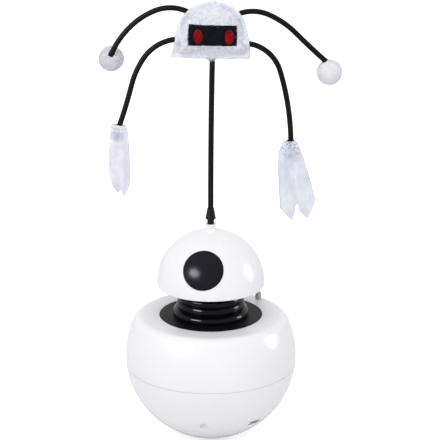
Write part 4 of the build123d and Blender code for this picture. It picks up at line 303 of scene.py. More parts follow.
MATERIALS = {
    "white_shell": shell_white(),
    "black_gloss": polished_black(),
    "black_plastic": moulded(
        "black_moulding",
        base=(0.004, 0.004, 0.005),
        tint=(0.008, 0.008, 0.009),
        rough=0.3,
        grain=7000,
        grain_depth=8e-6,
        Specular_IOR_Level=0.14,
    ),
    "grey_plastic": moulded(
        "grey_moulding", (0.4, 0.4, 0.42), (0.48, 0.48, 0.5), rough=0.18, grain=7000, grain_depth=4e-6, coat=0.2
    ),
    "rubber": moulded(
        "foot_rubber",
        base=(0.02, 0.02, 0.022),
        tint=(0.045, 0.045, 0.048),
        rough=0.7,
        grain=4200,
        grain_depth=3e-5,
        spread=0.2,
    ),
    "dark_plate": moulded(
        "charcoal_plate", (0.03, 0.03, 0.033), (0.042, 0.042, 0.046), rough=0.35, grain=5200, grain_depth=1.2e-5
    ),
    "inner_plastic": moulded(
        "inner_moulding", (0.5, 0.5, 0.49), (0.58, 0.57, 0.55), rough=0.4, grain=6000, grain_depth=1e-5
    ),
    "gear_plastic": moulded(
        "acetal_gear", (0.72, 0.71, 0.66), (0.8, 0.79, 0.74), rough=0.3, grain=7000, grain_depth=4e-6
    ),
    "cell_wrap": moulded(
        "cell_sleeve", (0.02, 0.16, 0.36), (0.03, 0.2, 0.42), rough=0.22, grain=5000, grain_depth=3e-6, coat=0.3
    ),
    "circuit_board": board_green(),
    "steel": metal("bright_steel", (0.52, 0.52, 0.54), (0.4, 0.39, 0.4), rough=0.22),
    "iron": metal("cast_iron", (0.16, 0.155, 0.15), (0.24, 0.2, 0.17), rough=0.5, scratch=1200),
    "brass": metal("turned_brass", (0.72, 0.5, 0.2), (0.55, 0.35, 0.12), rough=0.2),
    "motor_metal": metal("plated_case", (0.6, 0.6, 0.6), (0.48, 0.48, 0.5), rough=0.28),
    "black_foam": sleeve_black("black_tube", rough=0.5, grain_depth=3e-5),
    "arm_cover": sleeve_black("arm_sleeve", rough=0.42, grain_depth=2.4e-5),
    # Darker copy of the white felt for the nap fibres: painted shade among the pile.
    "plush_pile_painted_shade": felt(
        "plush_pile_painted_shade",
        base=(0.76, 0.78, 0.89),
        shade=(0.34, 0.36, 0.46),
        warm=(0.64, 0.66, 0.75),
        clump=520,
        sheen=0.1,
        subsurface=0.1,
    ),
    "plush_tips": felt(
        "plush_tips",
        base=(0.93, 0.94, 0.98),
        shade=(0.86, 0.88, 0.94),
        warm=(0.9, 0.9, 0.94),
        clump=700,
        sheen=0.1,
        subsurface=0.1,
    ),
    "white_felt": felt(
        "white_plush",
        base=(0.92, 0.93, 0.99),
        shade=(0.66, 0.68, 0.78),
        warm=(0.85, 0.86, 0.91),
        clump=620,
        sheen=0.15,
        subsurface=0.12,
    ),
    "visor_felt": felt(
        "black_felt",
        base=(0.005, 0.005, 0.009),
        shade=(0.002, 0.002, 0.004),
        warm=(0.008, 0.008, 0.014),
        clump=900,
        sheen=0.01,
        gloss=0.06,
    ),
    "red_felt": felt(
        "red_felt",
        base=(0.29, 0.006, 0.009),
        shade=(0.11, 0.002, 0.004),
        warm=(0.175, 0.004, 0.007),
        clump=620,
        sheen=0.02,
        gloss=0.06,
    ),
    "pompom_fibre": felt(
        "wool_ball",
        base=(0.78, 0.77, 0.82),
        shade=(0.62, 0.61, 0.66),
        warm=(0.73, 0.72, 0.77),
        clump=700,
        sheen=0.15,
        subsurface=0.15,
    ),
    "white_wool": felt(
        "white_wool_ball",
        base=(0.88, 0.87, 0.9),
        shade=(0.74, 0.73, 0.77),
        warm=(0.84, 0.83, 0.86),
        clump=700,
        sheen=0.15,
        subsurface=0.15,
    ),
    # Each satin's two colours are its painted shade in the crush dips and its painted light on the ridges.
    "satin": satin("ribbon_satin", crush_dip_shade=(0.65, 0.65, 0.76), crush_ridge_light=(0.83, 0.82, 0.91)),
    "blue_satin": satin("blue_ribbon_satin", crush_dip_shade=(0.6, 0.63, 0.72), crush_ridge_light=(0.77, 0.785, 0.86)),
}
for node in NODES.values():
    slot = node.data.materials[0].name.split(".")[0]
    for place in range(len(node.data.materials)):
        node.data.materials[place] = MATERIALS[slot]


# ---------------------------------------------------------------- pieces, in millimetres
def piece(name, points, faces, slot, body="antenna", look=None):
    """A smooth mesh piece in the row frame."""
    mesh = bpy.data.meshes.new(name)
    mesh.from_pydata([tuple(float(c) * MM for c in p) for p in points], [], faces)
    mesh.validate()
    mesh.shade_smooth()
    made = bpy.data.objects.new(name, mesh)
    bpy.context.scene.collection.objects.link(made)
    mesh.materials.append(MATERIALS[look or slot])
    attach(made, body)
    return made


OCTAVES = 3
WAVES = 5  # in each octave
RIPPLE_SPAN = 4.5


def ripple(points, scale, seed):
    """Smooth repeatable noise of about -1 to 1 for each row of points."""
    rng = np.random.default_rng(seed)
    total = np.zeros(len(points))
    for octave in range(OCTAVES):
        for _ in range(WAVES):
            way = rng.normal(size=3)
            way *= FULL_TURN * scale * 2**octave / np.linalg.norm(way)
            total += np.sin(points @ way + rng.uniform(0, FULL_TURN)) * 0.5**octave
    return total / RIPPLE_SPAN


def grid_faces(rows, columns, closed=False, first=0):
    """Four-sided faces of a grid of points, closed where its last column meets its first."""
    faces = []
    wrap = columns if closed else columns - 1
    for i in range(rows - 1):
        for j in range(wrap):
            a, b = first + i * columns + j, first + i * columns + (j + 1) % columns
            faces.append((a, b, b + columns, a + columns))
    return faces


FIBRE_RINGS = ((-0.1, 1.0), (0.5, 0.8))  # share of the length, and of the radius there
FIBRE_SIDES = 3
FIBRE_FACES = ((0, 1, 4, 3), (1, 2, 5, 4), (2, 0, 3, 5), (3, 4, 6), (4, 5, 6), (5, 3, 6))
FIBRE_POINTS = 7
FIBRE_CURL = 0.35
FIBRE_REACH = (0.5, 1.15)  # shares of the length
FIBRE_LEAN = (0.3, 1.2)


def unit(vectors, least):
    return vectors / np.maximum(np.linalg.norm(vectors, axis=1)[:, None], least)


def fuzz(name, source, count, length, radius, seed, slot, lean, keep=None, look=None):
    """Short curved fibres standing on a piece, as one mesh; keep picks among their roots."""
    graph = bpy.context.evaluated_depsgraph_get()
    mesh = source.evaluated_get(graph).to_mesh()
    mesh.calc_loop_triangles()
    spots = np.array([v.co for v in mesh.vertices])
    corners = np.array([t.vertices for t in mesh.loop_triangles])
    a, b, c = (spots[corners[:, k]] for k in range(3))
    cross = np.cross(b - a, c - a)
    area = np.linalg.norm(cross, axis=1) / 2
    rng = np.random.default_rng(seed)
    chosen = rng.choice(len(area), count, p=area / area.sum())
    u, v = rng.random((2, count, 1))
    flip = (u + v) > 1
    u, v = np.where(flip, 1 - u, u), np.where(flip, 1 - v, v)
    root = a[chosen] * (1 - u - v) + b[chosen] * u + c[chosen] * v
    normal = cross[chosen] / np.maximum(2 * area[chosen, None], 1e-15)
    if keep is not None:
        kept = keep(root / MM)
        root, normal = root[kept], normal[kept]
    count = len(root)

    tilt = rng.normal(size=(count, 3))
    tilt -= (tilt * normal).sum(1)[:, None] * normal
    tilt = unit(tilt, 1e-9)
    reach = length * MM * rng.uniform(*FIBRE_REACH, (count, 1))
    way = normal + tilt * lean * rng.uniform(*FIBRE_LEAN, (count, 1))
    way /= np.linalg.norm(way, axis=1)[:, None]
    bend = np.cross(way, rng.normal(size=(count, 3))) * FIBRE_CURL
    side = unit(np.cross(way, tilt), 1e-9)
    other = np.cross(way, side)
    points = []
    for share, thick in FIBRE_RINGS:
        middle = root + way * reach * share + bend * reach * share**2
        for k in range(FIBRE_SIDES):
            turn = FULL_TURN * k / FIBRE_SIDES
            points.append(middle + (side * math.cos(turn) + other * math.sin(turn)) * radius * MM * thick)
    points.append(root + way * reach + bend * reach)
    stacked = np.stack(points, axis=1).reshape(-1, 3)
    faces = [tuple(FIBRE_POINTS * i + k for k in face) for i in range(count) for face in FIBRE_FACES]
    return piece(name, stacked / MM, faces, slot, look=look)


# Felt head: two panels sewn together over soft filling, with a flat hem outside the seam. Its edge lines are (x, z).
HEAD_LEFT = [(-22.4, 226.4), (-20.9, 232.1), (-19.7, 239.5), (-17.7, 246.1)]
HEAD_RIGHT = [(22.7, 225.3), (22.3, 231.3), (21.6, 237.9), (20.3, 243.6)]
HEAD_TOP = [
    (-17.7, 246.1),
    (-15.4, 250.2),
    (-12.8, 253.3),
    (-9.4, 255.9),
    (-4.2, 257.8),
    (1.4, 258.5),
    (7.0, 257.9),
    (11.7, 256.0),
    (15.8, 252.7),
    (18.5, 248.8),
    (20.3, 243.6),
]
HEAD_SILL = [
    (-22.4, 226.4),
    (-16.4, 226.0),
    (-8.3, 225.5),
    (-0.7, 225.4),
    (2.1, 225.4),
    (11.8, 225.2),
    (22.7, 225.3),
]
HEAD_COLUMNS, HEAD_ROWS = 58, 46
HEM_WIDTH = 2.7
HEM_DEPTH = 0.75  # half the thickness of the hem
SEAM_PINCH = 0.35
SEAM_WIDTH = 0.6
SEAM_DEPTH = 0.4
CROWN_DEPTH = 5.1  # on each side, before it is blown
CROWN_RISE = 2.3
EDGE_WIDTH, EDGE_DEPTH = 0.25, 0.5
PUFF_SCALE = 20.0
PUFF_MOMENTS = 20
BLOWN_DEPTH, GREATEST_DEPTH = 6.35, 6.45
RUMPLE_RISE = 2.0  # width inside the seam over which the rumples grow
LUMP_DEPTH, RUMPLE_DEPTH, HEM_RUMPLE = 0.22, 0.14, 0.06
EDGE_FINENESS = 5
FINE_POINTS = 400
SMOOTHINGS = 60
TENT_RADII = (0.7, 1.4, 2.2)
TENT_WAYS = 8
TENT_MARGIN = 3.0
FAR_OFF = 0.05  # metres in front or behind, where rays start
TENDED = ("antenna_rod", "upper_left_arm", "upper_right_arm", "lower_left_arm", "lower_right_arm")


def along(line):
    return np.concatenate([[0], np.cumsum(np.linalg.norm(np.diff(line, axis=0), axis=1))])


def even_path(points, count):
    """Even points along a smooth line through the given ones."""
    line = np.array(points, float)
    run = along(line)
    fine = np.linspace(0, run[-1], FINE_POINTS)
    bent = np.stack([np.interp(fine, run, line[:, k]) for k in range(2)], axis=1)
    for _ in range(SMOOTHINGS):
        bent[1:-1] = bent[1:-1] * 0.5 + (bent[:-2] + bent[2:]) * 0.25
    run = along(bent)
    where = np.linspace(0, run[-1], count)
    return np.stack([np.interp(where, run, bent[:, k]) for k in range(2)], axis=1)


def filled_patch(bottom, top, left, right):
    """Grid of points inside four edge lines, as rows from the bottom up."""
    rows, columns = len(left), len(bottom)
    u = np.linspace(0, 1, columns)[None, :, None]
    v = np.linspace(0, 1, rows)[:, None, None]
    ends = (1 - u) * left[:, None] + u * right[:, None]
    span = (1 - v) * bottom[None] + v * top[None]
    low = (1 - u) * bottom[0] + u * bottom[-1]
    high = (1 - u) * top[0] + u * top[-1]
    return span + ends - (1 - v) * low - v * high


def tented(spots, sides, names, gap=0.4, slope=0.75):
    """Lifts front (-1) and back (1) points over the tubes that run inside a piece."""
    graph = bpy.context.evaluated_depsgraph_get()
    turns = np.linspace(0, FULL_TURN, TENT_WAYS + 1)[:-1]
    rings = [(0.0, 0.0)] + [(r * math.cos(a), r * math.sin(a)) for r in TENT_RADII for a in turns]
    for name in names:
        tree = BVHTree.FromObject(NODES[name], graph)
        lo, hi = (np.array(corner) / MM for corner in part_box(name))
        near = (spots[:, 0] > lo[0] - TENT_MARGIN) & (spots[:, 0] < hi[0] + TENT_MARGIN)
        near &= (spots[:, 2] > lo[2] - TENT_MARGIN) & (spots[:, 2] < hi[2] + TENT_MARGIN)
        for k in np.nonzero(near)[0]:
            x, y, z = spots[k]
            way = float(sides[k])
            need = y * way
            for dx, dz in rings:
                start = Vector(((x + dx) * MM, way * FAR_OFF, (z + dz) * MM))
                hit = tree.ray_cast(start, Vector((0, -way, 0)))[0]
                if hit is not None:
                    need = max(need, hit.y / MM * way + gap - slope * math.hypot(dx, dz))
            spots[k, 1] = need * way
    return spots


def blown(made, held, pressure, growth, cap):
    """Fills a thin pad with a short cloth run; held is each point's pinned share, cap its longest move."""
    mesh = made.data
    start = np.array([v.co for v in mesh.vertices])
    mesh.vertices.foreach_set("co", (start * PUFF_SCALE).ravel())
    group = made.vertex_groups.new(name="held")
    for k, share in enumerate(held):
        group.add([k], float(share), "REPLACE")
    cloth = made.modifiers.new("filling", "CLOTH")
    cloth.settings.quality = 7
    cloth.settings.mass = 0.25
    cloth.settings.tension_stiffness = cloth.settings.compression_stiffness = 25
    cloth.settings.shear_stiffness = 12
    cloth.settings.bending_stiffness = 0.8
    cloth.settings.use_pressure = True
    cloth.settings.uniform_pressure_force = pressure
    cloth.settings.vertex_group_mass = "held"
    cloth.settings.shrink_min = -growth
    cloth.settings.effector_weights.gravity = 0
    cloth.collision_settings.use_collision = False
    for moment in range(1, PUFF_MOMENTS + 1):
        bpy.context.scene.frame_set(moment)
    graph = bpy.context.evaluated_depsgraph_get()
    ended = np.array([v.co for v in made.evaluated_get(graph).data.vertices]) / PUFF_SCALE
    made.modifiers.remove(cloth)
    made.vertex_groups.clear()
    bpy.context.scene.frame_set(1)
    move = ended - start
    far = np.linalg.norm(move, axis=1)[:, None]
    move *= np.minimum(1, cap * MM / np.maximum(far, 1e-9))
    mesh.vertices.foreach_set("co", (start + move).ravel())
    mesh.update()


def felt_body():
    """The padded head: a thin pad between its edge lines, blown up, rumpled, and lifted over the rod and arms."""
    bottom, top = even_path(HEAD_SILL, HEAD_COLUMNS), even_path(HEAD_TOP, HEAD_COLUMNS)
    left, right = even_path(HEAD_LEFT, HEAD_ROWS), even_path(HEAD_RIGHT, HEAD_ROWS)
    flat = filled_patch(bottom, top, left, right).reshape(-1, 2)
    edge = np.concatenate([bottom, right[1:], top[::-1][1:], left[::-1][1:-1]])
    ring = np.concatenate([edge, edge[:1]])
    dense = np.concatenate([np.linspace(a, b, EDGE_FINENESS)[:-1] for a, b in zip(ring[:-1], ring[1:])])
    inset = np.sqrt(((flat[:, None] - dense[None]) ** 2).sum(2)).min(1)
    hem = HEM_DEPTH - SEAM_PINCH * np.exp(-(((inset - HEM_WIDTH) / SEAM_WIDTH) ** 2))
    crown = SEAM_DEPTH + CROWN_DEPTH * (1 - np.exp(-(inset - HEM_WIDTH) / CROWN_RISE))
    swell = np.where(inset < HEM_WIDTH, hem, crown)
    swell[inset < EDGE_WIDTH] = EDGE_DEPTH
    points = np.concatenate([np.column_stack([flat[:, 0], side * swell, flat[:, 1]]) for side in (-1, 1)])
    held = np.tile(np.clip((HEM_WIDTH + SEAM_WIDTH - inset) / SEAM_WIDTH, 0, 1), 2)

    n = HEAD_ROWS * HEAD_COLUMNS
    faces = grid_faces(HEAD_ROWS, HEAD_COLUMNS)
    faces += [face[::-1] for face in grid_faces(HEAD_ROWS, HEAD_COLUMNS, first=n)]
    border = list(range(HEAD_COLUMNS))
    border += [i * HEAD_COLUMNS + HEAD_COLUMNS - 1 for i in range(1, HEAD_ROWS)]
    border += [(HEAD_ROWS - 1) * HEAD_COLUMNS + j for j in range(HEAD_COLUMNS - 2, -1, -1)]
    border += [i * HEAD_COLUMNS for i in range(HEAD_ROWS - 2, 0, -1)]
    for here, following in zip(border, border[1:] + border[:1]):
        faces.append((here, n + here, n + following, following))
    made = piece("plush_head", points, faces, "white_felt")
    blown(made, held, pressure=3.0, growth=0.05, cap=2.2)

    spots = np.array([v.co for v in made.data.vertices]) / MM
    sides = np.repeat([-1, 1], n)
    inside = np.clip((np.tile(inset, 2) - HEM_WIDTH) / RUMPLE_RISE, 0, 1)
    depth = spots[:, 1] * sides
    depth *= np.where(inside > 0, min(1.0, BLOWN_DEPTH / depth.max()), 1)
    lumps = ripple(spots, scale=0.09, seed=11) * LUMP_DEPTH * inside
    depth += lumps + ripple(spots, scale=0.42, seed=21) * (HEM_RUMPLE + RUMPLE_DEPTH * inside)
    spots[:, 1] = np.minimum(depth, GREATEST_DEPTH) * sides
    spots = tented(spots, sides, TENDED)
    made.data.vertices.foreach_set("co", (spots * MM).ravel())
    made.data.update()
    smooth = made.modifiers.new("smooth", "SUBSURF")
    smooth.levels = smooth.render_levels = 1
    return made


plush = felt_body()
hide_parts("felt_head")


# Cut felt on the head's front: a visor, and an oval at each end of it.
PATCH_RINGS = 9
PATCH_BACK = 0.985  # share of the rim that the hidden back reaches
PATCH_SINK = 0.25
PATCH_EDGE, PATCH_RISE = 0.25, 5  # share of the thickness at the rim, and how fast it grows inwards
HEAD_FRONT = -6.5  # depth taken where a ray misses
VISOR_MIDDLE = (1.2, 240.0)
VISOR_CORNERS = [(-12.0, 246.3), (14.7, 245.5), (14.7, 233.9), (-12.7, 234.2)]
VISOR_SIDE_POINTS = 25
VISOR_BOW = 0.35
LEVEL_SIDE_BOW = 0.6  # share of it on the top and bottom sides
CUT_WOBBLE = 0.07
LEFT_OVAL = (-6.9, 239.7)
RIGHT_OVAL = (10.6, 239.4)
OVAL_POINTS = 48


def front_of(target, x, z, lift):
    """Depth of the front of a piece at x and z, less the lift."""
    hit = target.ray_cast(Vector((x * MM, -FAR_OFF, z * MM)), Vector((0, 1, 0)))
    return hit[1].y / MM - lift if hit[0] else HEAD_FRONT - lift


def patch(name, target, middle, rim, thickness, slot):
    """A felt patch cut to the rim, lying on the front of a piece."""
    n = len(rim)
    rim = np.array(rim, float)
    points = []
    for k in range(PATCH_RINGS):
        q = 1 - k / PATCH_RINGS
        for j in range(n):
            x, z = np.array(middle) + (rim[j] - middle) * q
            edge = min(1.0, (1 - q) * PATCH_RISE + PATCH_EDGE)
            points.append((x, front_of(target, x, z, thickness * edge), z))
    points.append((middle[0], front_of(target, middle[0], middle[1], thickness), middle[1]))
    first_back = len(points)
    for j in range(n):
        x, z = np.array(middle) + (rim[j] - middle) * PATCH_BACK
        points.append((x, front_of(target, x, z, -PATCH_SINK), z))
    faces = grid_faces(PATCH_RINGS, n, closed=True)
    last = (PATCH_RINGS - 1) * n
    faces += [(last + j, last + (j + 1) % n, first_back - 1) for j in range(n)]
    faces += [(first_back + j, first_back + (j + 1) % n, (j + 1) % n, j) for j in range(n)]
    faces.append(tuple(first_back + j for j in reversed(range(n))))
    return piece(name, points, faces, slot)


def visor_rim():
    """Hand-cut sides, bowed a little."""
    rim = []
    rng = np.random.default_rng(5)
    for k in range(4):
        a, b = np.array(VISOR_CORNERS[k]), np.array(VISOR_CORNERS[(k + 1) % 4])
        for s in np.linspace(0, 1, VISOR_SIDE_POINTS + 1)[:-1]:
            spot = a + (b - a) * s
            away = np.array([b[1] - a[1], a[0] - b[0]]) / np.linalg.norm(b - a)
            spot = spot - away * VISOR_BOW * math.sin(math.pi * s) * (1 if k % 2 else LEVEL_SIDE_BOW)
            rim.append(spot + rng.normal(size=2) * CUT_WOBBLE)
    return rim


def oval(middle, wide, tall, seed):
    """Hand-cut oval; wide and tall are its half sizes."""
    rng = np.random.default_rng(seed)
    x, z = middle
    return [
        (
            x + wide * math.cos(t) * (1 + 0.03 * math.sin(3 * t + seed)) + rng.normal() * 0.04,
            z + tall * math.sin(t) * (1 + 0.02 * math.cos(2 * t)) + rng.normal() * 0.05,
        )
        for t in np.linspace(0, FULL_TURN, OVAL_POINTS + 1)[:-1]
    ]


visor = patch("visor_felt_cut", plush, VISOR_MIDDLE, visor_rim(), 0.9, "visor_felt")
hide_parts("visor_patch")
left_rim = oval(LEFT_OVAL, wide=2.5, tall=4.35, seed=1)
right_rim = oval(RIGHT_OVAL, wide=2.6, tall=4.35, seed=2)
left_eye = patch("left_eye_felt", visor, LEFT_OVAL, left_rim, 0.6, "red_felt")
right_eye = patch("right_eye_felt", visor, RIGHT_OVAL, right_rim, 0.6, "red_felt")
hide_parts("eye_patches")
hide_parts("eye_patches")


# Where fibres stand on the head.
BARE_WIDE, BARE_TALL = 12.9, 5.3  # half sizes of the part round the visor's middle that stays free of pile
HEM_HALF = 1.4  # half depth that counts as hem for the dark pile
EDGE_HALF = 1.2
TUFT_X, TUFT_HALF = 0.2, 2.4
TUFT_TOP, TUFT_BACK = 226.6, 1.5


def off_visor(spots):
    wide = abs(spots[:, 0] - VISOR_MIDDLE[0]) < BARE_WIDE
    tall = abs(spots[:, 2] - VISOR_MIDDLE[1]) < BARE_TALL
    return ~(wide & tall & (spots[:, 1] < 0))


def off_hem(spots):
    return off_visor(spots) & (abs(spots[:, 1]) > HEM_HALF)


def on_edge(spots):
    return abs(spots[:, 1]) < EDGE_HALF


def round_rod(spots):
    return (abs(spots[:, 0] - TUFT_X) < TUFT_HALF) & (spots[:, 2] < TUFT_TOP) & (spots[:, 1] < TUFT_BACK)


HEAD_FIBRES = (  # name, count, length, radius, seed, lean, where they stand, look
    # The nap wears the darker copy of the felt as painted shade among the pile; the tips stay near white.
    ("plush_nap", 7800, 1.1, 0.05, 3, 1.2, off_hem, "plush_pile_painted_shade"),
    ("plush_tips", 6500, 1.2, 0.06, 6, 1.1, off_visor, "plush_tips"),
    ("plush_edge_nap", 9000, 0.8, 0.035, 8, 1.0, on_edge, None),
    ("rod_tuft", 26000, 2.6, 0.06, 9, 0.5, round_rod, "plush_tips"),
)
for name, count, length, radius, seed, lean, keep, look in HEAD_FIBRES:
    fuzz(name, plush, count, length, radius, seed, "white_felt", lean, keep, look)
fuzz("visor_nap", visor, count=3000, length=0.75, radius=0.035, seed=4, slot="visor_felt", lean=1.3)


# Wool balls on the upper arms.
BALL_SHARE = 0.965  # of the solid ball's radius
BALL_LUMPS = ((0.55, 0.018), (1.6, 0.012))  # scale and depth, for a radius of one
ARM_NEAR = 0.004  # metres
ARM_CLEARANCE = 0.00025


def ball(name, node, arm, seed, look):
    """A lumpy wool ball that its arm enters."""
    lo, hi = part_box(node)
    middle = (lo + hi) / 2
    radius = (hi.x - lo.x) / 2
    made = bmesh.new()
    bmesh.ops.create_icosphere(made, subdivisions=5, radius=1)
    spots = np.array([v.co for v in made.verts])
    faces = [tuple(v.index for v in f.verts) for f in made.faces]
    made.free()
    grown = BALL_SHARE
    for later, (scale, deep) in enumerate(BALL_LUMPS):
        grown = grown + deep * ripple(spots, scale, seed + later)
    spots = spots * grown[:, None] * radius + np.array(middle)
    tube = BVHTree.FromObject(NODES[arm], bpy.context.evaluated_depsgraph_get())
    for k, spot in enumerate(spots):
        near, normal, _, gap = tube.find_nearest(Vector(spot))
        if near is not None and gap < ARM_NEAR:
            inside = (Vector(spot) - near).dot(normal) < 0
            if inside or gap < ARM_CLEARANCE:
                spots[k] = near + normal * ARM_CLEARANCE
    made = piece(name, spots / MM, faces, "pompom_fibre", look=look)
    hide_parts(node)
    nap = {"count": 5200, "length": 0.8, "radius": 0.035, "lean": 1.0}
    fuzz(name + "_nap", made, seed=seed + 2, slot="pompom_fibre", look=look, **nap)


ball("left_wool_ball", "left_pompom", "upper_left_arm", seed=31, look="pompom_fibre")
ball("right_wool_ball", "right_pompom", "upper_right_arm", seed=41, look="white_wool")


# Satin pieces that hang from the lower arms: a folded band, and a streamer with a notch.
HANGING_ROWS = 96
COLUMNS_PER_WIDTH = 26
LEAST_COLUMNS = 4  # between two points of the tail
BULGE_POWER = 2.4
PLEAT_TWIST = 1.2
PUCKER_PITCH = 1.1
EDGE_FOLD = 0.35  # share of the fold that is left at the sides


def hanging(name, node, arm, left, right, tail, middle_y, thickness, pleats, gathers, seed, look="satin"):
    """A flattened tube of satin that hangs from an arm.

    left and right are its sides as (x, z) from the top down, and tail its cut edge as (share across, z).
    thickness is (drops, half depths there). A pleat is (count, phase, depth, reach, share at the top, share at
    the end), and a gather (drop, sag towards the sides, width, depth).
    """
    left, right = np.array(left, float), np.array(right, float)
    tail = np.array(tail, float)
    across = []
    for k in range(len(tail) - 1):
        steps = max(LEAST_COLUMNS, int(abs(tail[k + 1, 0] - tail[k, 0]) * COLUMNS_PER_WIDTH))
        across += list(np.linspace(tail[k, 0], tail[k + 1, 0], steps + 1)[:-1])
    across = np.array([*across, 1.0])
    loops, sides = [], []
    for i in range(HANGING_ROWS):
        t = i / (HANGING_ROWS - 1)
        line = []
        for layer, shares in ((-1, across), (1, across[::-1][1:-1])):
            start = left[0, 1] + (right[0, 1] - left[0, 1]) * shares
            z = start + (np.interp(shares, tail[:, 0], tail[:, 1]) - start) * t
            x_left = np.interp(-z, -left[:, 1], left[:, 0])
            x_right = np.interp(-z, -right[:, 1], right[:, 0])
            u = shares * 2 - 1
            x = x_left + (x_right - x_left) * shares
            drop = start - z
            inner = 1 - np.abs(u) ** 4
            bulge = np.interp(drop, *thickness) * (1 - np.abs(u) ** BULGE_POWER) ** 0.5
            fold = sum(
                deep
                * np.sin(FULL_TURN * (shares * count + phase) + PLEAT_TWIST * t)
                * np.interp(drop, (0, reach / 2, reach), (first, 1, end))
                for count, phase, deep, reach, first, end in pleats
            )
            pucker = 0.7 + 0.3 * np.sin(x * FULL_TURN / PUCKER_PITCH)
            pinch = sum(
                deep * np.exp(-(((drop - at - sag * u * u) / wide) ** 2)) * pucker for at, sag, wide, deep in gathers
            )
            y = middle_y + layer * (bulge + pinch * inner) + fold * (EDGE_FOLD + (1 - EDGE_FOLD) * inner)
            line.append(np.column_stack([x, y, z]))
            sides += [layer] * len(shares)
        loops.append(np.concatenate(line))
    spots = np.concatenate(loops)
    spots[:, 1] += ripple(spots, 0.12, seed) * 0.25 + ripple(spots, 0.35, seed + 1) * 0.08
    spots = tented(spots, sides, [arm], gap=0.45)
    made = piece(name, spots, grid_faces(HANGING_ROWS, len(loops[0]), closed=True), "satin", look=look)
    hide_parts(node)
    return made


BAND_LEFT = [
    (-55.9, 188.0),
    (-56.6, 186.6),
    (-56.6, 185.2),
    (-57.2, 182.0),
    (-57.7, 175.8),
    (-58.0, 167.5),
    (-58.1, 159.5),
    (-57.3, 154.4),
    (-55.5, 149.8),
]
BAND_RIGHT = [
    (-47.9, 187.2),
    (-46.9, 186.2),
    (-47.1, 184.9),
    (-46.8, 182.3),
    (-46.4, 175.8),
    (-46.0, 167.5),
    (-45.9, 159.8),
    (-46.1, 153.8),
    (-47.4, 148.3),
]
BAND_TAIL = [
    (0, 151.0),
    (0.1, 149.2),
    (0.2, 148.1),
    (0.3, 147.8),
    (0.4, 148.3),
    (0.48, 149.3),
    (0.56, 148.0),
    (0.65, 145.8),
    (0.73, 144.9),
    (0.81, 145.0),
    (0.9, 146.3),
    (1, 148.3),
]
band = hanging(
    "folded_band",
    "paddle",
    "lower_left_arm",
    BAND_LEFT,
    BAND_RIGHT,
    BAND_TAIL,
    middle_y=-2.75,
    thickness=((0, 1.2, 4, 9, 30, 42), (0.7, 1.7, 1.95, 1.5, 0.9, 0.6)),
    pleats=[(2.4, 0.1, 0.3, 40, 0.4, 1.0), (5.3, 0.4, 0.18, 14, 1.2, 0.2)],
    gathers=[(1.2, 0.0, 0.8, 0.6), (2.7, 0.1, 0.4, -0.5), (3.8, 0.1, 0.5, 0.25)],
    seed=51,
)

STREAMER_LEFT = [
    (43.2, 178.4),
    (41.2, 177.2),
    (39.7, 174.8),
    (38.8, 171.6),
    (38.3, 166.8),
    (38.5, 159.7),
    (39.2, 149.5),
    (39.7, 138.0),
]
STREAMER_RIGHT = [
    (47.6, 178.4),
    (49.2, 177.3),
    (51.3, 173.0),
    (53.3, 168.0),
    (56.0, 158.7),
    (58.0, 151.9),
    (59.4, 145.9),
    (60.5, 142.8),
]
STREAMER_TAIL = [
    (0, 138.0),
    (0.35, 130.2),
    (0.385, 132.4),
    (0.425, 136.4),
    (0.44, 139.4),
    (0.48, 140.6),
    (0.515, 139.0),
    (0.535, 136.6),
    (0.74, 132.2),
    (0.8, 132.0),
    (1, 142.8),
]
streamer = hanging(
    "cut_streamer",
    "streamer",
    "lower_right_arm",
    STREAMER_LEFT,
    STREAMER_RIGHT,
    STREAMER_TAIL,
    middle_y=-2.4,
    thickness=((0, 3, 9, 25, 48), (2.3, 2.1, 1.7, 1.0, 0.8)),
    pleats=[(2.2, 0.3, 0.5, 40, 0.3, 1.0), (6.5, 0.2, 0.28, 14, 1.3, 0.15)],
    gathers=[(1.2, 0.9, 0.45, 0.4), (2.9, 1.2, 0.45, 0.4), (4.9, 1.5, 0.45, 0.35), (7.0, 1.8, 0.5, 0.25)],
    seed=61,
    look="blue_satin",
)


# ---------------------------------------------------------------- studio
FLOOR_RADIUS = 5.0
FLOOR_SIDES = 96
FLOOR_GREY = 0.8
FLOOR_GLOW_SEEN = 0.1  # for camera, glossy and transmission rays
FLOOR_GLOW_CAMERA = 0.5  # for camera rays on top of that
AMBIENT = 0.85
BACKDROP = 1.0
LAMP_AIM = (0, 0, 0.09)
CAMERA_SPOT = (0.00536, -1.2, 0.5169)
CAMERA_DIP = 17.87  # degrees below level
LENS, SENSOR = 178.9, 36  # millimetres


def seen_rays(tree, rays):
    """One for camera, glossy and transmission rays, which see the white backdrop."""
    total = rays.outputs["Is Camera Ray"]
    for kind in ("Is Glossy Ray", "Is Transmission Ray"):
        either = tree.nodes.new("ShaderNodeMath")
        either.operation = "MAXIMUM"
        tree.links.new(total, either.inputs[0])
        tree.links.new(rays.outputs[kind], either.inputs[1])
        total = either.outputs[0]
    return total


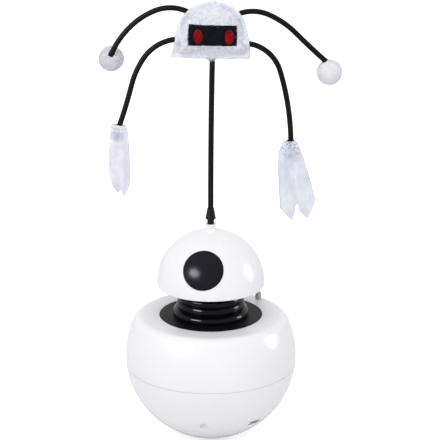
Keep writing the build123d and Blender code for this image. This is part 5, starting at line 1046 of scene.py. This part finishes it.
def stage_sheet():
    """White paper floor that keeps the shadow, with a glow that brings it to white."""
    mesh = bpy.data.meshes.new("studio_floor")
    turns = [FULL_TURN * k / FLOOR_SIDES for k in range(FLOOR_SIDES)]
    rim = [(FLOOR_RADIUS * math.cos(t), FLOOR_RADIUS * math.sin(t), 0) for t in turns]
    mesh.from_pydata(rim, [], [tuple(range(FLOOR_SIDES))])
    floor = bpy.data.objects.new("studio_floor", mesh)
    bpy.context.scene.collection.objects.link(floor)
    paint = bpy.data.materials.new("white_paper")
    paint.use_nodes = True
    tree = paint.node_tree
    tree.nodes.clear()
    out = tree.nodes.new("ShaderNodeOutputMaterial")
    plain = tree.nodes.new("ShaderNodeBsdfDiffuse")
    plain.inputs["Color"].default_value = (FLOOR_GREY, FLOOR_GREY, FLOOR_GREY, 1)
    glow = tree.nodes.new("ShaderNodeEmission")
    both = tree.nodes.new("ShaderNodeAddShader")
    rays = tree.nodes.new("ShaderNodeLightPath")
    strength = tree.nodes.new("ShaderNodeMath")
    strength.operation = "ADD"
    seen = ((seen_rays(tree, rays), FLOOR_GLOW_SEEN), (rays.outputs["Is Camera Ray"], FLOOR_GLOW_CAMERA))
    for place, (source, share) in enumerate(seen):
        scaled = tree.nodes.new("ShaderNodeMath")
        scaled.operation = "MULTIPLY"
        scaled.inputs[1].default_value = share
        tree.links.new(source, scaled.inputs[0])
        tree.links.new(scaled.outputs[0], strength.inputs[place])
    tree.links.new(strength.outputs[0], glow.inputs["Strength"])
    tree.links.new(plain.outputs[0], both.inputs[0])
    tree.links.new(glow.outputs[0], both.inputs[1])
    tree.links.new(both.outputs[0], out.inputs["Surface"])
    mesh.materials.append(paint)


def white_room():
    """World that lights the toy softly and shows as white where it is seen."""
    world = bpy.data.worlds.new("studio")
    bpy.context.scene.world = world
    world.use_nodes = True
    tree = world.node_tree
    tree.nodes.clear()
    out = tree.nodes.new("ShaderNodeOutputWorld")
    back = tree.nodes.new("ShaderNodeBackground")
    back.inputs["Color"].default_value = (1, 1, 1, 1)
    rays = tree.nodes.new("ShaderNodeLightPath")
    lift = tree.nodes.new("ShaderNodeMapRange")
    lift.inputs["To Min"].default_value = AMBIENT
    lift.inputs["To Max"].default_value = BACKDROP
    tree.links.new(seen_rays(tree, rays), lift.inputs["Value"])
    tree.links.new(lift.outputs[0], back.inputs["Strength"])
    tree.links.new(back.outputs[0], out.inputs["Surface"])


def softbox(name, azimuth, elevation, distance, wide, tall, watts, spark=False, tint=(1, 1, 1)):
    """Area lamp in a direction from the aim, where azimuth 0 is the camera's side and 90 is +X.

    A spark is only mirrored, and the others only light what is matt.
    """
    a, e = math.radians(azimuth), math.radians(elevation)
    way = Vector((math.sin(a) * math.cos(e), -math.cos(a) * math.cos(e), math.sin(e)))
    lamp = bpy.data.lights.new(name, "AREA")
    lamp.shape = "ELLIPSE" if spark else "RECTANGLE"
    lamp.size, lamp.size_y, lamp.energy, lamp.color = wide, tall, watts, tint
    held = bpy.data.objects.new(name, lamp)
    held.location = Vector(LAMP_AIM) + way * distance
    held.rotation_euler = way.to_track_quat("Z", "Y").to_euler()
    held.visible_diffuse = not spark
    held.visible_glossy = spark
    bpy.context.scene.collection.objects.link(held)


def photo_camera():
    """Long lens in front of the toy, looking down on it a little."""
    camera = bpy.data.cameras.new("photo_view")
    camera.sensor_width = SENSOR
    camera.lens = LENS
    eye = bpy.data.objects.new("photo_view", camera)
    eye.location = CAMERA_SPOT
    eye.rotation_euler = (math.radians(90 - CAMERA_DIP), 0, 0)
    bpy.context.scene.collection.objects.link(eye)
    bpy.context.scene.camera = eye


stage_sheet()
white_room()
# Columns: azimuth and elevation in degrees, distance, width and height in metres, watts.
softbox("window_right", 96, 13, 1.3, 0.42, 0.52, 9.5, spark=True)
softbox("umbrella_left", -48, 26, 1.5, 0.85, 0.55, 38, spark=True, tint=(0.92, 0.92, 1))
softbox("wall_left", -50, 25, 1.6, 0.9, 0.7, 0.9)
softbox("front_low", -5, 0, 1.8, 1.2, 0.5, 4.6)
softbox("front_high", 6, 46, 1.8, 1.2, 0.6, 2.3)
softbox("ceiling", -10, 66, 1.6, 1.2, 0.8, 4.4)
softbox("wall_far_left", -80, 15, 1.5, 0.6, 1.0, 0.9)
softbox("wall_far_right", 95, 15, 1.5, 0.6, 1.0, 0.2)
photo_camera()
bpy.context.scene.view_settings.view_transform = "Standard"
